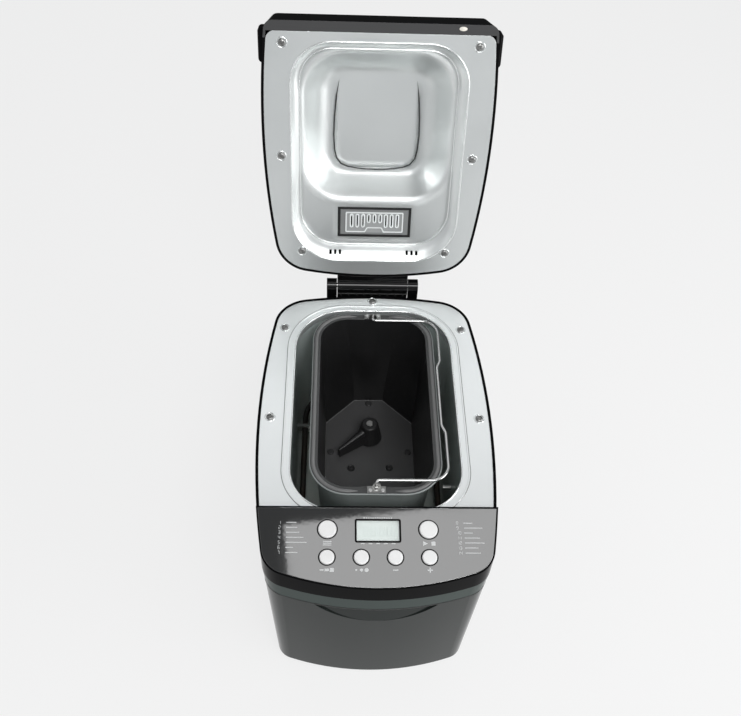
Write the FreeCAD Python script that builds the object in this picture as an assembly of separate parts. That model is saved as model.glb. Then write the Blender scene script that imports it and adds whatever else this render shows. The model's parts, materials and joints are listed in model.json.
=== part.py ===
"""Bread machine with its lid open: housing, oven, drive train, bread pan, paddle, control panel and lid.

Millimetres, +Z up, front of the machine towards -Y. Sizes are drawn from the middle of the housing,
and the finished pieces are then moved so that the origin lies on the floor under the middle of the whole.
The lid is built shut and then swung open about its hinge.
"""
import FreeCAD
import Part
import math
import os
from FreeCAD import Vector

# Housing outline seen from above: four bowed sides joined by tangent corners
BODY_WIDTH = 239.0
BODY_DEPTH = 359.0
WIDEST_FROM_FRONT = 181.5
SIDE_BOW = 880.0
FRONT_BOW = 290.0
BACK_BOW = 460.0
FRONT_CORNER = 27.0
BACK_CORNER = 40.0
HOUSING_WALL = 2.5
BODY_TAPER = 6.5
SEAM_TUCK = 1.4

# Heights, stacked from the floor to the deck
FOOT_HEIGHT = 5.0
BASE_THICKNESS = 2.5
PULLEY_LIFT = 7.0
PULLEY_WIDTH = 12.0
PULLEY_TO_CHASSIS = 11.5
CHASSIS_THICKNESS = 2.0
CHAMBER_LIFT = 12.0
CHAMBER_WALL = 1.2
SEAT_FLOOR = 2.0
PAN_RING_HEIGHT = 14.0
PAN_WALL = 2.0
PAN_DEPTH = 143.0
RIM_BELOW_DECK = 2.0

# Upper frame, deck plate and oven opening
FRAME_HEIGHT = 43.0
FRAME_BAND = 21.5
FRAME_LIP = 0.6
SHELF_WIDTH = 10.0
SHELF_THICKNESS = 2.5
SEAT_GAP = 0.3
DECK_THICKNESS = 1.2
OPENING_HALF = 84.0
OPENING_FRONT_MARGIN = 3.0
OPENING_BACK_MARGIN = 22.8
OPENING_FRONT_CORNER = 46.0
OPENING_BACK_CORNER = 54.0
OPENING_FLANGE = 8.0
BEAD_OFFSET = 7.0
BEAD_WIDTH = 1.6
BEAD_HEIGHT = 0.5
CHAMBER_GAP = 0.4
CHAMBER_FLANGE = 6.0
CHAMBER_FLOOR_RADIUS = 10.0
SCREW_HEAD = 3.8
SCREW_HEAD_HEIGHT = 1.8
SCREW_SHANK = 1.7
SCREW_LENGTH = 9.0
SCREW_BOSS = 4.6
DECK_SCREW_INSET = 7.3
DECK_SIDE_SCREW_FROM_BACK = 170.3
DECK_REAR_SCREW_FROM_BACK = 48.8

# Control panel
PANEL_DEPTH = 78.2
PANEL_RISE = 12.0
PANEL_SLOPE = 8.0
FASCIA_THICKNESS = 2.4
FASCIA_LIP = 1.6
FASCIA_LEDGE = 5.4
LARGE_BUTTON = 8.4
SMALL_BUTTON = 6.8
BUTTON_RISE = 2.4
BUTTON_GAP = 0.25
BUTTON_FLANGE = 1.4
BUTTON_TRAVEL = 1.2
OUTER_BUTTON_X = 46.6
INNER_BUTTON_X = 15.5
LARGE_ROW = 23.0
SMALL_ROW = 49.5
LCD_HALF = 20.2
LCD_DEPTH = 21.0
LCD_ROW = 24.0
LCD_LENS = 1.6
LCD_BEZEL = 1.5
BOARD_DROP = 12.0
BOARD_THICKNESS = 1.6
BOARD_HALF = 62.0
BOARD_DEPTH = 52.0
BOARD_POST = 2.6
SWITCH_SIZE = 6.2

# Bread pan and bail
RIM_HALF = 66.0
RIM_FRONT_GAP = 18.1
RIM_BACK_GAP = 2.2
RIM_WIDTH = 8.5
RIM_THICKNESS = 2.4
RIM_CORNER = 38.0
RIM_ROLL = 0.45
PAN_DRAFT = 5.5
FLOOR_CHAMFER = 35.0
SHAFT_FROM_FLOOR_BACK = 55.5
RING_OUTER = 53.0
RING_WALL = 5.0
FLOOR_RIVET_TURNS = (90.0, 205.0, 335.0)
RIVET_SHANK = 2.0
RIVET_HEAD = 4.0
RIVET_HEAD_HEIGHT = 1.6
EAR_WIDTH = 18.0
EAR_HEIGHT = 8.0
EAR_THICKNESS = 1.5
EAR_FOOT = 6.0
PIVOT_ABOVE_RIM = 4.2
BAIL_WIRE = 1.5
BAIL_RUN = 0.08
BAIL_SIDE = 71.0
BAIL_GRIP_SIDE = 67.4
BAIL_GRIP_LENGTH = 76.0
BAIL_JOG = 9.0
BAIL_ARM_INSET = 5.0

# Pan shaft and paddle
PAN_SHAFT = 4.0
SHAFT_RUN = 0.05
PAN_BUSH = 7.0
PAN_BUSH_FLANGE = 13.0
PAN_BUSH_DROP = 4.4
PAN_BUSH_RISE = 2.2
SEAL_HEIGHT = 1.6
SHAFT_RISE = 29.0
DOG_HALF = 17.0
DOG_WIDTH = 9.0
DOG_HEIGHT = 5.0
FLAT_DEPTH = 1.0
PADDLE_FIT = 0.1
PADDLE_HUB_FOOT = 15.0
PADDLE_HUB_TOP = 9.5
PADDLE_HUB_HEIGHT = 26.0
PADDLE_REACH = 45.6
PADDLE_ANGLE = 218.0
PADDLE_ROOT_THICKNESS = 15.0
PADDLE_TIP_THICKNESS = 4.5
PADDLE_ROOT_HEIGHT = 23.0
PADDLE_TIP_HEIGHT = 13.0

# Seat, drive shaft, pulleys, belt and motor
SEAT_CLEARANCE = 0.4
SEAT_WALL = 3.0
SEAT_RIM = 10.0
SEAT_FLANGE = 6.0
CLIP_THICKNESS = 0.8
CLIP_WIDTH = 12.0
CLIP_HEIGHT = 24.0
CLIP_FOOT = 9.0
CLIP_LEAN = 1.0
DRIVE_SHAFT = 5.0
BEARING_BOSS = 12.0
BEARING_FLANGE = 22.0
BEARING_FLANGE_THICKNESS = 3.0
BEARING_DROP = 6.0
COUPLER_DISC = 21.0
COUPLER_DISC_HEIGHT = 2.5
COUPLER_GAP = 0.8
LUG_INNER = 9.0
LUG_WIDTH = 8.0
LUG_HEIGHT = 5.2
LARGE_PULLEY = 54.0
SMALL_PULLEY = 9.0
PULLEY_FLANGE = 2.0
PULLEY_FLANGE_WIDTH = 1.5
PULLEY_HUB = 11.0
PULLEY_WEB = 4.0
PULLEY_HOLE = 13.0
PULLEY_HOLES = 5
BELT_THICKNESS = 2.2
BELT_RUN = 0.3
BELT_SIDE_GAP = 0.6
MOTOR_X = -48.0
MOTOR_FROM_FRONT = 44.0
MOTOR_RADIUS = 27.0
MOTOR_HEIGHT = 66.0
MOTOR_SHIELD = 9.0
MOTOR_CORE_HALF = 24.0
MOTOR_SHAFT = 4.0
SHAFT_PRESS = 0.01
CHASSIS_HALF = 82.0
CHASSIS_FRONT_MARGIN = 20.0
CHASSIS_BACK_MARGIN = 32.0
CHASSIS_CORNER = 45.0
CHASSIS_HEM = 7.0
POST_X = 70.0
POST_RADIUS = 6.0
POST_BACK_MARGIN = 48.0
POST_FRONT_MARGIN = 78.0
SPACER_RADIUS = 5.0

# Heater, sensor, fuse and electrical parts
HEATER_TUBE = 3.25
HEATER_LIFT = 24.0
HEATER_WALL_GAP = 9.0
HEATER_BEND = 42.0
HEATER_END_BEND = 8.0
HEATER_END_X = 8.0
HEATER_END_PITCH = 28.0
HEATER_TAIL = 16.0
HEATER_CLEARANCE = 0.05
HEATER_CLIP_WIDTH = 4.0
HEATER_CLIP_HEIGHT = 10.0
BUSHING_NECK = 6.0
BUSHING_FLANGE = 8.5
BUSHING_FLANGE_THICKNESS = 3.0
SENSOR_PROBE = 3.0
SENSOR_REACH = 9.0
SENSOR_FLANGE = 6.5
SENSOR_BELOW_DECK = 92.0
SENSOR_BEHIND_OPENING = 82.0
FUSE_LENGTH = 26.0
FUSE_WIDTH = 9.0
FUSE_HEIGHT = 6.0
CAPACITOR_RADIUS = 13.0
CAPACITOR_HEIGHT = 42.0
CAPACITOR_X = 4.0
POWER_BOARD_X = 52.0
POWER_BOARD_HALF = 30.0
POWER_BOARD_DEPTH = 40.0
POWER_BOARD_LIFT = 7.0
TRANSFORMER_SIZE = 26.0
TRANSFORMER_HEIGHT = 20.0

# Base plate, feet and cord inlet
BASE_GAP = 0.4
BASE_SCREW_INSET = 3.4
BASE_SCREW_FROM_END = 62.0
BASE_BOSS_HEIGHT = 16.0
FOOT_RADIUS = 10.0
FOOT_INSET = 34.0
FOOT_FROM_END = 66.0
FOOT_STUD = 3.0
VENT_SLOT_LENGTH = 26.0
VENT_SLOT_WIDTH = 3.0
VENT_SLOT_PITCH = 8.0
VENT_SLOTS = 7
REAR_VENT_Z = 120.0
GLAND_X = 62.0
GLAND_ABOVE_BASE = 26.0
GLAND_NECK = 7.0
GLAND_FLANGE = 10.0
GLAND_FLANGE_THICKNESS = 3.0
GLAND_BORE = 3.6
SCOOP_HALF = 58.0
SCOOP_HEIGHT = 26.0
SCOOP_DEPTH = 2.4

# Lid, hinge and steam vent
LID_OPEN_ANGLE = 106.0
LID_GAP = 1.5
LID_LIFT = 2.4
LID_WALL = 2.4
LID_FRONT_HEIGHT = 46.0
LID_CROWN_HEIGHT = 60.0
LID_BACK_HEIGHT = 44.0
LID_DRAFT = 5.0
LID_FRONT_CORNER = 9.0
LID_TOP_ROUND = 9.0
LINER_THICKNESS = 1.0
LINER_INSET = 2.8
LINER_FRONT_INSET = 10.0
RECESS_SIDE_INSET = 29.5
RECESS_FRONT_INSET = 19.3
RECESS_BACK_INSET = 20.3
RECESS_FRONT_CORNER = 42.0
RECESS_BACK_CORNER = 50.0
RECESS_DEPTH = 10.0
RECESS_BAND = 9.0
RECESS_BACK_BAND = 16.0
DOME_SIDE_GAP = 2.5
DOME_BACK_GAP = 69.2
DOME_DEPTH = 25.0
DOME_DRAFT = 19.0
DOME_CORNER = 44.0
DOME_ROUND = 15.0
DOME_MOUTH_ROUND = 7.0
PLATEAU_SIDE_INSET = 33.5
PLATEAU_FRONT_INSET = 28.0
PLATEAU_BACK_INSET = 27.0
PLATEAU_CORNER = 16.0
PLATEAU_DEPTH = 2.5
LID_SCREW_SIDE_INSET = 18.8
LID_SCREW_REAR_SIDE_INSET = 27.3
LID_SCREW_FROM_FRONT = 21.0
LID_SCREW_MIDDLE_FROM_FRONT = 137.0
LID_SCREW_FROM_BACK = 31.3
VENT_HALF = 40.5
VENT_DEPTH = 36.0
VENT_BEHIND_DOME = 8.4
VENT_WALL = 2.5
VENT_BOX_HEIGHT = 12.0
VENT_LIP = 3.0
COVER_GAP = 0.4
COVER_THICKNESS = 2.2
COVER_BORDER = 5.5
COVER_LINE = 1.4
COVER_LINE_RISE = 0.7
COVER_SKIRT = 6.0
COVER_SLOTS = 9
COVER_SLOT_PITCH = 6.3
COVER_SLOT_WIDTH = 2.8
COVER_LONG_SLOT = 12.5
COVER_SHORT_SLOT = 7.0
NOTCH_HALF = 10.0
NOTCH_DEPTH = 5.0
NOTCH_ROUND = 1.6
STEAM_SLOTS = 5
STEAM_SLOT_PITCH = 12.0
STEAM_SLOT_LENGTH = 26.0
STEAM_SLOT_WIDTH = 3.4
BAND_SLOT_X = 42.9
BAND_SLOT_PITCH = 5.3
BAND_SLOT_WIDTH = 2.6
BAND_SLOT_LENGTH = 4.6
GRIP_LENGTH = 33.0
GRIP_HEIGHT = 15.0
GRIP_REACH = 6.5
GRIP_FRONT_INSET = 10.0
GRIP_LIFT = 8.0
GRIP_ROUND = 4.0
HINGE_BEHIND = 13.0
HINGE_ABOVE_DECK = 5.2
HINGE_RADIUS = 8.0
HINGE_PIN = 2.5
HINGE_PIN_RUN = 0.05
HINGE_BLOCK_HALF = 40.0
HINGE_SIDE_GAP = 0.5
EAR_BLOCK = 11.5
HINGE_PIN_INSERT = 16.0
HINGE_ARM_HEIGHT = 22.0
HINGE_RIBS = 4
HINGE_RIB_GAP = 2.2
BRACKET_DROP = 34.0
BRACKET_THICKNESS = 4.0

# Levels and places worked out from the sizes above
BIG = 600.0
MIDDLE_TOLERANCE = 0.5
FRONT_Y = -BODY_DEPTH / 2
BACK_Y = BODY_DEPTH / 2
WIDEST_Y = FRONT_Y + WIDEST_FROM_FRONT
BASE_Z = FOOT_HEIGHT
BASE_TOP = BASE_Z + BASE_THICKNESS
PULLEY_Z = BASE_TOP + PULLEY_LIFT
PULLEY_TOP = PULLEY_Z + PULLEY_WIDTH
CHASSIS_Z = PULLEY_TOP + PULLEY_TO_CHASSIS
CHASSIS_TOP = CHASSIS_Z + CHASSIS_THICKNESS
CHAMBER_Z = CHASSIS_TOP + CHAMBER_LIFT
CHAMBER_FLOOR = CHAMBER_Z + CHAMBER_WALL
SEAT_TOP = CHAMBER_FLOOR + SEAT_FLOOR
PAN_Z = SEAT_TOP + PAN_RING_HEIGHT
PAN_FLOOR = PAN_Z + PAN_WALL
RIM_Z = PAN_FLOOR + PAN_DEPTH
DECK_Z = RIM_Z + RIM_BELOW_DECK
SEAM_Z = DECK_Z - FRAME_HEIGHT
BAND_Z = DECK_Z - FRAME_BAND
STEP_Y = FRONT_Y + PANEL_DEPTH
PANEL_Z = DECK_Z + PANEL_RISE
OPENING_FRONT = STEP_Y + OPENING_FRONT_MARGIN
OPENING_BACK = BACK_Y - OPENING_BACK_MARGIN
RIM_FRONT = OPENING_FRONT + RIM_FRONT_GAP
RIM_BACK = OPENING_BACK - RIM_BACK_GAP
FLOOR_HALF = RIM_HALF - RIM_WIDTH - PAN_DRAFT
FLOOR_FRONT = RIM_FRONT + RIM_WIDTH + PAN_DRAFT
FLOOR_BACK = RIM_BACK - RIM_WIDTH - PAN_DRAFT
SHAFT_Y = FLOOR_BACK - SHAFT_FROM_FLOOR_BACK
CHAMBER_GROW = DECK_THICKNESS + CHAMBER_GAP
MOTOR_Y = FRONT_Y + MOTOR_FROM_FRONT
LID_FRONT = STEP_Y + LID_GAP
LID_Z = DECK_Z + LID_LIFT
LINER_Z = LID_Z + SEAT_GAP
RECESS_Z = LINER_Z + RECESS_DEPTH
DOME_Z = RECESS_Z + DOME_DEPTH
RECESS_HALF = BODY_WIDTH / 2 - RECESS_SIDE_INSET
RECESS_FRONT = LID_FRONT + RECESS_FRONT_INSET
RECESS_BACK = BACK_Y - RECESS_BACK_INSET
DOME_FRONT = RECESS_FRONT + RECESS_BAND + DOME_SIDE_GAP
DOME_BACK = RECESS_BACK - DOME_BACK_GAP
DOME_HALF = RECESS_HALF - RECESS_BAND - DOME_SIDE_GAP
VENT_FRONT = DOME_BACK + VENT_BEHIND_DOME
VENT_BACK = VENT_FRONT + VENT_DEPTH
HINGE_Y = BACK_Y + HINGE_BEHIND
HINGE_Z = DECK_Z + HINGE_ABOVE_DECK
PIVOT_Z = RIM_Z + PIVOT_ABOVE_RIM
FRONT_EAR_Y = RIM_FRONT + RIM_WIDTH - EAR_THICKNESS
BACK_EAR_Y = RIM_BACK - RIM_WIDTH + EAR_THICKNESS
BUTTONS = {
    "button_program": (-OUTER_BUTTON_X, LARGE_ROW, LARGE_BUTTON),
    "button_start": (OUTER_BUTTON_X, LARGE_ROW, LARGE_BUTTON),
    "button_crust": (-OUTER_BUTTON_X, SMALL_ROW, SMALL_BUTTON),
    "button_size": (-INNER_BUTTON_X, SMALL_ROW, SMALL_BUTTON),
    "button_minus": (INNER_BUTTON_X, SMALL_ROW, SMALL_BUTTON),
    "button_plus": (OUTER_BUTTON_X, SMALL_ROW, SMALL_BUTTON),
}


# Outline helpers


def arc(centre, start, end):
    """The shorter arc about centre from start to end."""
    radius = (start - centre).Length
    middle = (start - centre) + (end - centre)
    middle.normalize()
    return Part.Arc(start, centre + middle * radius, end).toShape()


def line(start, end):
    return Part.LineSegment(start, end).toShape()


def circles_meet(first, first_radius, second, second_radius, right):
    """Where two circles in one plane cross: the crossing on the right or on the left."""
    across = second - first
    distance = across.Length
    along = (distance**2 + first_radius**2 - second_radius**2) / (2 * distance)
    rise = math.sqrt(first_radius**2 - along**2)
    across.normalize()
    side = Vector(-across.y, across.x, 0) * rise
    options = (first + across * along + side, first + across * along - side)
    pick = max if right else min
    return pick(options, key=lambda point: point.x)


def touch(centre, radius, corner):
    """The point where a corner circle touches the larger circle round it."""
    away = corner - centre
    away.normalize()
    return centre + away * radius


def mirror_edges(edges):
    mirrored = [edge.mirror(Vector(0, 0, 0), Vector(1, 0, 0)) for edge in edges]
    return mirrored


def bowed_wire(z, inset):
    """The housing's outline from above, drawn in by inset."""
    side_centre = Vector(BODY_WIDTH / 2 - SIDE_BOW, WIDEST_Y, z)
    front_centre = Vector(0, FRONT_Y + FRONT_BOW, z)
    front_corner = circles_meet(
        front_centre, FRONT_BOW - FRONT_CORNER, side_centre, SIDE_BOW - FRONT_CORNER, True
    )
    front_touch = touch(front_centre, FRONT_BOW - inset, front_corner)
    side_front_touch = touch(side_centre, SIDE_BOW - inset, front_corner)
    front_end = Vector(0, FRONT_Y + inset, z)
    half = [arc(front_centre, front_end, front_touch), arc(front_corner, front_touch, side_front_touch)]
    return close_outline(half + back_half(z, inset, side_centre, side_front_touch))


def lid_wire(z, inset, front_inset=0.0):
    """The lid's outline: the housing's sides and back with a straight front edge."""
    side_centre = Vector(BODY_WIDTH / 2 - SIDE_BOW, WIDEST_Y, z)
    front = LID_FRONT + inset + front_inset
    corner_radius = LID_FRONT_CORNER
    corner_y = front + corner_radius
    reach = SIDE_BOW - inset - corner_radius
    corner = Vector(side_centre.x + math.sqrt(reach**2 - (corner_y - WIDEST_Y) ** 2), corner_y, z)
    side_touch = touch(side_centre, SIDE_BOW - inset, corner)
    front_touch = Vector(corner.x, front, z)
    half = [line(Vector(0, front, z), front_touch), arc(corner, front_touch, side_touch)]
    return close_outline(half + back_half(z, inset, side_centre, side_touch))


def back_half(z, inset, side_centre, side_start):
    """The right side, the right back corner and half of the back."""
    back_centre = Vector(0, BACK_Y - BACK_BOW, z)
    corner = circles_meet(
        back_centre, BACK_BOW - BACK_CORNER, side_centre, SIDE_BOW - BACK_CORNER, True
    )
    side_touch = touch(side_centre, SIDE_BOW - inset, corner)
    back_touch = touch(back_centre, BACK_BOW - inset, corner)
    back_end = Vector(0, BACK_Y - inset, z)
    return [
        arc(side_centre, side_start, side_touch),
        arc(corner, side_touch, back_touch),
        arc(back_centre, back_touch, back_end),
    ]


def close_outline(half):
    """A right half and its mirror image as one closed wire."""
    return Part.Wire(Part.__sortEdges__(half + mirror_edges(half)))


def round_rect(z, half, front, back, front_corner, back_corner, grow=0.0):
    """A rectangle with rounded corners, grown outwards by grow."""
    side = half + grow
    y0 = front - grow
    y1 = back + grow
    r0 = front_corner + grow
    r1 = back_corner + grow
    edges = [
        line(Vector(r0 - side, y0, z), Vector(side - r0, y0, z)),
        arc(Vector(side - r0, y0 + r0, z), Vector(side - r0, y0, z), Vector(side, y0 + r0, z)),
        line(Vector(side, y0 + r0, z), Vector(side, y1 - r1, z)),
        arc(Vector(side - r1, y1 - r1, z), Vector(side, y1 - r1, z), Vector(side - r1, y1, z)),
        line(Vector(side - r1, y1, z), Vector(r1 - side, y1, z)),
        arc(Vector(r1 - side, y1 - r1, z), Vector(r1 - side, y1, z), Vector(-side, y1 - r1, z)),
        line(Vector(-side, y1 - r1, z), Vector(-side, y0 + r0, z)),
        arc(Vector(r0 - side, y0 + r0, z), Vector(-side, y0 + r0, z), Vector(r0 - side, y0, z)),
    ]
    return Part.Wire(edges)


def side_x(y, inset):
    """How far the housing's side lies from the middle at y, drawn in by inset."""
    return BODY_WIDTH / 2 - SIDE_BOW + math.sqrt((SIDE_BOW - inset) ** 2 - (y - WIDEST_Y) ** 2)


def back_y(x, inset=0.0):
    """Where the housing's back lies at x, drawn in by inset."""
    return BACK_Y - BACK_BOW + math.sqrt((BACK_BOW - inset) ** 2 - x**2)


# Solid helpers


def prism(wire, height):
    return Part.Face(wire).extrude(Vector(0, 0, height))


def loft(*wires):
    return Part.makeLoft(list(wires), True, True)


def block(x0, x1, y0, y1, z0, z1):
    return Part.makeBox(x1 - x0, y1 - y0, z1 - z0, Vector(x0, y0, z0))


def rod(x, y, z, radius, height, axis=Vector(0, 0, 1)):
    return Part.makeCylinder(radius, height, Vector(x, y, z), axis)


def ring(x, y, z, outer, inner, height):
    return rod(x, y, z, outer, height).cut(rod(x, y, z, inner, height))


def fused(*shapes):
    return shapes[0].fuse(list(shapes[1:])).removeSplitter()


def group(shapes):
    return Part.makeCompound(list(shapes))


def bend(before, corner, after, radius):
    """Start, centre and end of the arc that rounds a corner between two runs."""
    inward = before - corner
    outward = after - corner
    inward.normalize()
    outward.normalize()
    half_angle = inward.getAngle(outward) / 2
    reach = radius / math.tan(half_angle)
    middle = inward + outward
    middle.normalize()
    centre = corner + middle * (radius / math.sin(half_angle))
    return corner + inward * reach, centre, corner + outward * reach


def bent_tube(points, bends, radius):
    """A round wire along straight runs joined by tangent arcs."""
    edges = []
    start = points[0]
    for before, corner, after, bend_radius in zip(points, points[1:], points[2:], bends):
        first, centre, last = bend(before, corner, after, bend_radius)
        edges.append(line(start, first))
        edges.append(arc(centre, first, last))
        start = last
    edges.append(line(start, points[-1]))
    profile = Part.Wire(Part.makeCircle(radius, points[0], points[1] - points[0]))
    return Part.Wire(edges).makePipeShell([profile], True, False)


def rounded_loop(points, radius):
    """A closed outline through points with every corner rounded."""
    arcs = []
    for index, corner in enumerate(points):
        after = points[(index + 1) % len(points)]
        arcs.append(bend(points[index - 1], corner, after, radius))
    edges = []
    for index, (first, centre, last) in enumerate(arcs):
        edges.append(arc(centre, first, last))
        edges.append(line(last, arcs[(index + 1) % len(arcs)][0]))
    return Part.Wire(edges)


def screw(x, y, z, upward):
    """A pan-head screw whose head sits against a face at z and whose shank goes up or down from it."""
    sign = 1 if upward else -1
    head = rod(x, y, z, SCREW_HEAD, SCREW_HEAD_HEIGHT, Vector(0, 0, -sign))
    rim = [edge for edge in head.Edges if abs(edge.CenterOfMass.z - (z - sign * SCREW_HEAD_HEIGHT)) < 1e-6]
    head = head.makeFillet(SCREW_HEAD_HEIGHT / 2, rim)
    shank = rod(x, y, z, SCREW_SHANK, SCREW_LENGTH, Vector(0, 0, sign))
    return fused(head, shank)


def screw_bore(x, y, z0, z1):
    return rod(x, y, z0, SCREW_SHANK, z1 - z0)


def on_panel(shape):
    """Moves a shape drawn flat, top at z = 0 and rear edge at y = 0, onto the sloping panel."""
    shape.rotate(Vector(0, 0, 0), Vector(1, 0, 0), PANEL_SLOPE)
    shape.translate(Vector(0, STEP_Y, PANEL_Z))
    return shape


def under_panel(y_limit, drop):
    """All the space in front of y_limit and at least drop below the panel's top face."""
    space = on_panel(block(-BIG, BIG, -BIG, BIG, -BIG, -drop))
    return space.common(block(-BIG, BIG, -BIG, y_limit, 0, BIG))


def over_panel(y_limit, drop):
    """All the space in front of y_limit and above a plane drop below the panel's top face."""
    space = on_panel(block(-BIG, BIG, -BIG, BIG, -drop, BIG))
    return space.common(block(-BIG, BIG, -BIG, y_limit, 0, BIG))


def opened(shape):
    """Swings a lid piece from shut to fully open."""
    return shape.rotate(Vector(0, HINGE_Y, HINGE_Z), Vector(1, 0, 0), -LID_OPEN_ANGLE)


# Housing


def lower_housing():
    foot_inset = SEAM_TUCK + BODY_TAPER
    outer = loft(bowed_wire(BASE_Z, foot_inset), bowed_wire(SEAM_Z, SEAM_TUCK))
    inner = loft(
        bowed_wire(BASE_Z, foot_inset + HOUSING_WALL), bowed_wire(SEAM_Z, SEAM_TUCK + HOUSING_WALL)
    )
    shell = outer.cut(inner)
    for x, y in base_screw_places():
        boss = rod(x, y, BASE_TOP, SCREW_BOSS, BASE_BOSS_HEIGHT).common(outer)
        shell = shell.fuse(boss).cut(screw_bore(x, y, BASE_TOP, BASE_TOP + SCREW_LENGTH))
    shell = shell.cut(front_scoop()).cut(group(rear_vent_slots()))
    gland_y = gland_wall_y()
    hole = rod(GLAND_X, gland_y - BIG / 10, gland_z(), GLAND_NECK, BIG / 5, Vector(0, 1, 0))
    return shell.cut(hole).removeSplitter()


def taper_inset(z):
    """How far the lower housing is drawn in at height z."""
    return SEAM_TUCK + BODY_TAPER * (SEAM_Z - z) / (SEAM_Z - BASE_Z)


def base_screw_places():
    inset = SEAM_TUCK + BODY_TAPER + HOUSING_WALL + BASE_SCREW_INSET
    rows = (FRONT_Y + BASE_SCREW_FROM_END, BACK_Y - BASE_SCREW_FROM_END)
    return [(side * side_x(y, inset), y) for y in rows for side in (-1, 1)]


def front_scoop():
    """A shallow crescent dished into the front just under the seam."""
    radius = (SCOOP_HALF**2 + SCOOP_HEIGHT**2) / (2 * SCOOP_HEIGHT)
    top = SEAM_Z - HOUSING_WALL
    disc = rod(0, FRONT_Y - BIG / 10, top - SCOOP_HEIGHT + radius, radius, BIG / 5, Vector(0, 1, 0))
    depth = prism(bowed_wire(BASE_Z, 0), BIG).cut(
        loft(
            bowed_wire(BASE_Z, SEAM_TUCK + BODY_TAPER + SCOOP_DEPTH * (1 - (top - BASE_Z) / SCOOP_HEIGHT)),
            bowed_wire(top, taper_inset(top) + SCOOP_DEPTH),
        )
    )
    front_half = block(-BIG, BIG, -BIG, STEP_Y, BASE_Z, top)
    return disc.common(depth).common(front_half)


def rear_vent_slots():
    """Upright cooling slots in the back wall."""
    first = -VENT_SLOT_PITCH * (VENT_SLOTS - 1) / 2
    slots = []
    for index in range(VENT_SLOTS):
        x = first + index * VENT_SLOT_PITCH
        slots.append(upright_slot(x, BACK_Y - BODY_TAPER * 3, REAR_VENT_Z))
    return slots


def upright_slot(x, y, z):
    half = VENT_SLOT_WIDTH / 2
    straight = VENT_SLOT_LENGTH - VENT_SLOT_WIDTH
    across = Vector(0, 1, 0)
    body = block(x - half, x + half, y, y + BIG / 10, z, z + straight)
    lower_end = rod(x, y, z, half, BIG / 10, across)
    upper_end = rod(x, y, z + straight, half, BIG / 10, across)
    return fused(body, lower_end, upper_end)


def upper_frame():
    """The glossy collar round the top: panel housing in front, deck seat behind."""
    band = prism(bowed_wire(BAND_Z, 0), BIG / 4)
    skirt = loft(bowed_wire(SEAM_Z, SEAM_TUCK), bowed_wire(BAND_Z, 0))
    rear = block(-BIG, BIG, STEP_Y, BIG, SEAM_Z, DECK_Z + FRAME_LIP)
    outer = band.fuse(skirt).common(rear.fuse(under_panel(STEP_Y, 0)))
    inside = fused(
        prism(bowed_wire(BAND_Z, HOUSING_WALL), BIG / 4),
        loft(bowed_wire(SEAM_Z, SEAM_TUCK + HOUSING_WALL), bowed_wire(BAND_Z, HOUSING_WALL)),
    )
    shelf_z = DECK_Z - DECK_THICKNESS - SHELF_THICKNESS
    rear_room = inside.common(block(-BIG, BIG, STEP_Y, BIG, 0, shelf_z))
    deck_seat = inside.common(block(-BIG, BIG, STEP_Y, BIG, DECK_Z - DECK_THICKNESS, BIG))
    shelf_hole = prism(bowed_wire(SEAM_Z, HOUSING_WALL + SHELF_WIDTH), BIG / 4)
    shelf_hole = shelf_hole.common(block(-BIG, BIG, STEP_Y, BIG, 0, BIG))
    wall_y = STEP_Y - HOUSING_WALL
    front_room = inside.common(under_panel(wall_y, FASCIA_THICKNESS + HOUSING_WALL))
    fascia_seat = prism(bowed_wire(SEAM_Z, FASCIA_LIP - SEAT_GAP), BIG / 4)
    fascia_seat = fascia_seat.common(over_panel(STEP_Y - FASCIA_LIP + SEAT_GAP, FASCIA_THICKNESS))
    fascia_hole = prism(bowed_wire(SEAM_Z, FASCIA_LIP + FASCIA_LEDGE), BIG / 4)
    fascia_hole = fascia_hole.common(block(-BIG, BIG, -BIG, STEP_Y - FASCIA_LIP - FASCIA_LEDGE, 0, BIG))
    frame = outer.cut(rear_room).cut(deck_seat).cut(shelf_hole)
    frame = frame.cut(front_room).cut(fascia_seat).cut(fascia_hole)
    boss_top = DECK_Z - DECK_THICKNESS
    for x, y in deck_screw_places():
        boss = rod(x, y, boss_top - SCREW_LENGTH - 1, SCREW_BOSS, SCREW_LENGTH + 1)
        frame = frame.fuse(boss).cut(screw_bore(x, y, boss_top - SCREW_LENGTH, boss_top))
    return frame.removeSplitter()


def deck_screw_places():
    side_y = BACK_Y - DECK_SIDE_SCREW_FROM_BACK
    side = side_x(side_y, HOUSING_WALL + SHELF_WIDTH)
    rear_y = BACK_Y - DECK_REAR_SCREW_FROM_BACK
    rear = side_x(rear_y, HOUSING_WALL + SHELF_WIDTH)
    return [
        (0, BACK_Y - DECK_SCREW_INSET),
        (rear, rear_y),
        (-rear, rear_y),
        (side, side_y),
        (-side, side_y),
    ]


def deck_plate():
    bottom = DECK_Z - DECK_THICKNESS
    behind_step = block(-BIG, BIG, STEP_Y + SEAT_GAP, BIG, 0, BIG)
    plate = prism(bowed_wire(bottom, HOUSING_WALL + SEAT_GAP), DECK_THICKNESS)
    bead = prism(opening_wire(DECK_Z, BEAD_OFFSET + BEAD_WIDTH), BEAD_HEIGHT)
    bead = bead.cut(prism(opening_wire(DECK_Z, BEAD_OFFSET), BEAD_HEIGHT))
    flange = prism(opening_wire(DECK_Z - OPENING_FLANGE, DECK_THICKNESS), OPENING_FLANGE)
    plate = plate.fuse([bead, flange]).cut(prism(opening_wire(DECK_Z - OPENING_FLANGE), BIG / 10))
    for x, y in deck_screw_places():
        plate = plate.cut(screw_bore(x, y, bottom, DECK_Z))
    return plate.common(behind_step).removeSplitter()


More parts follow.
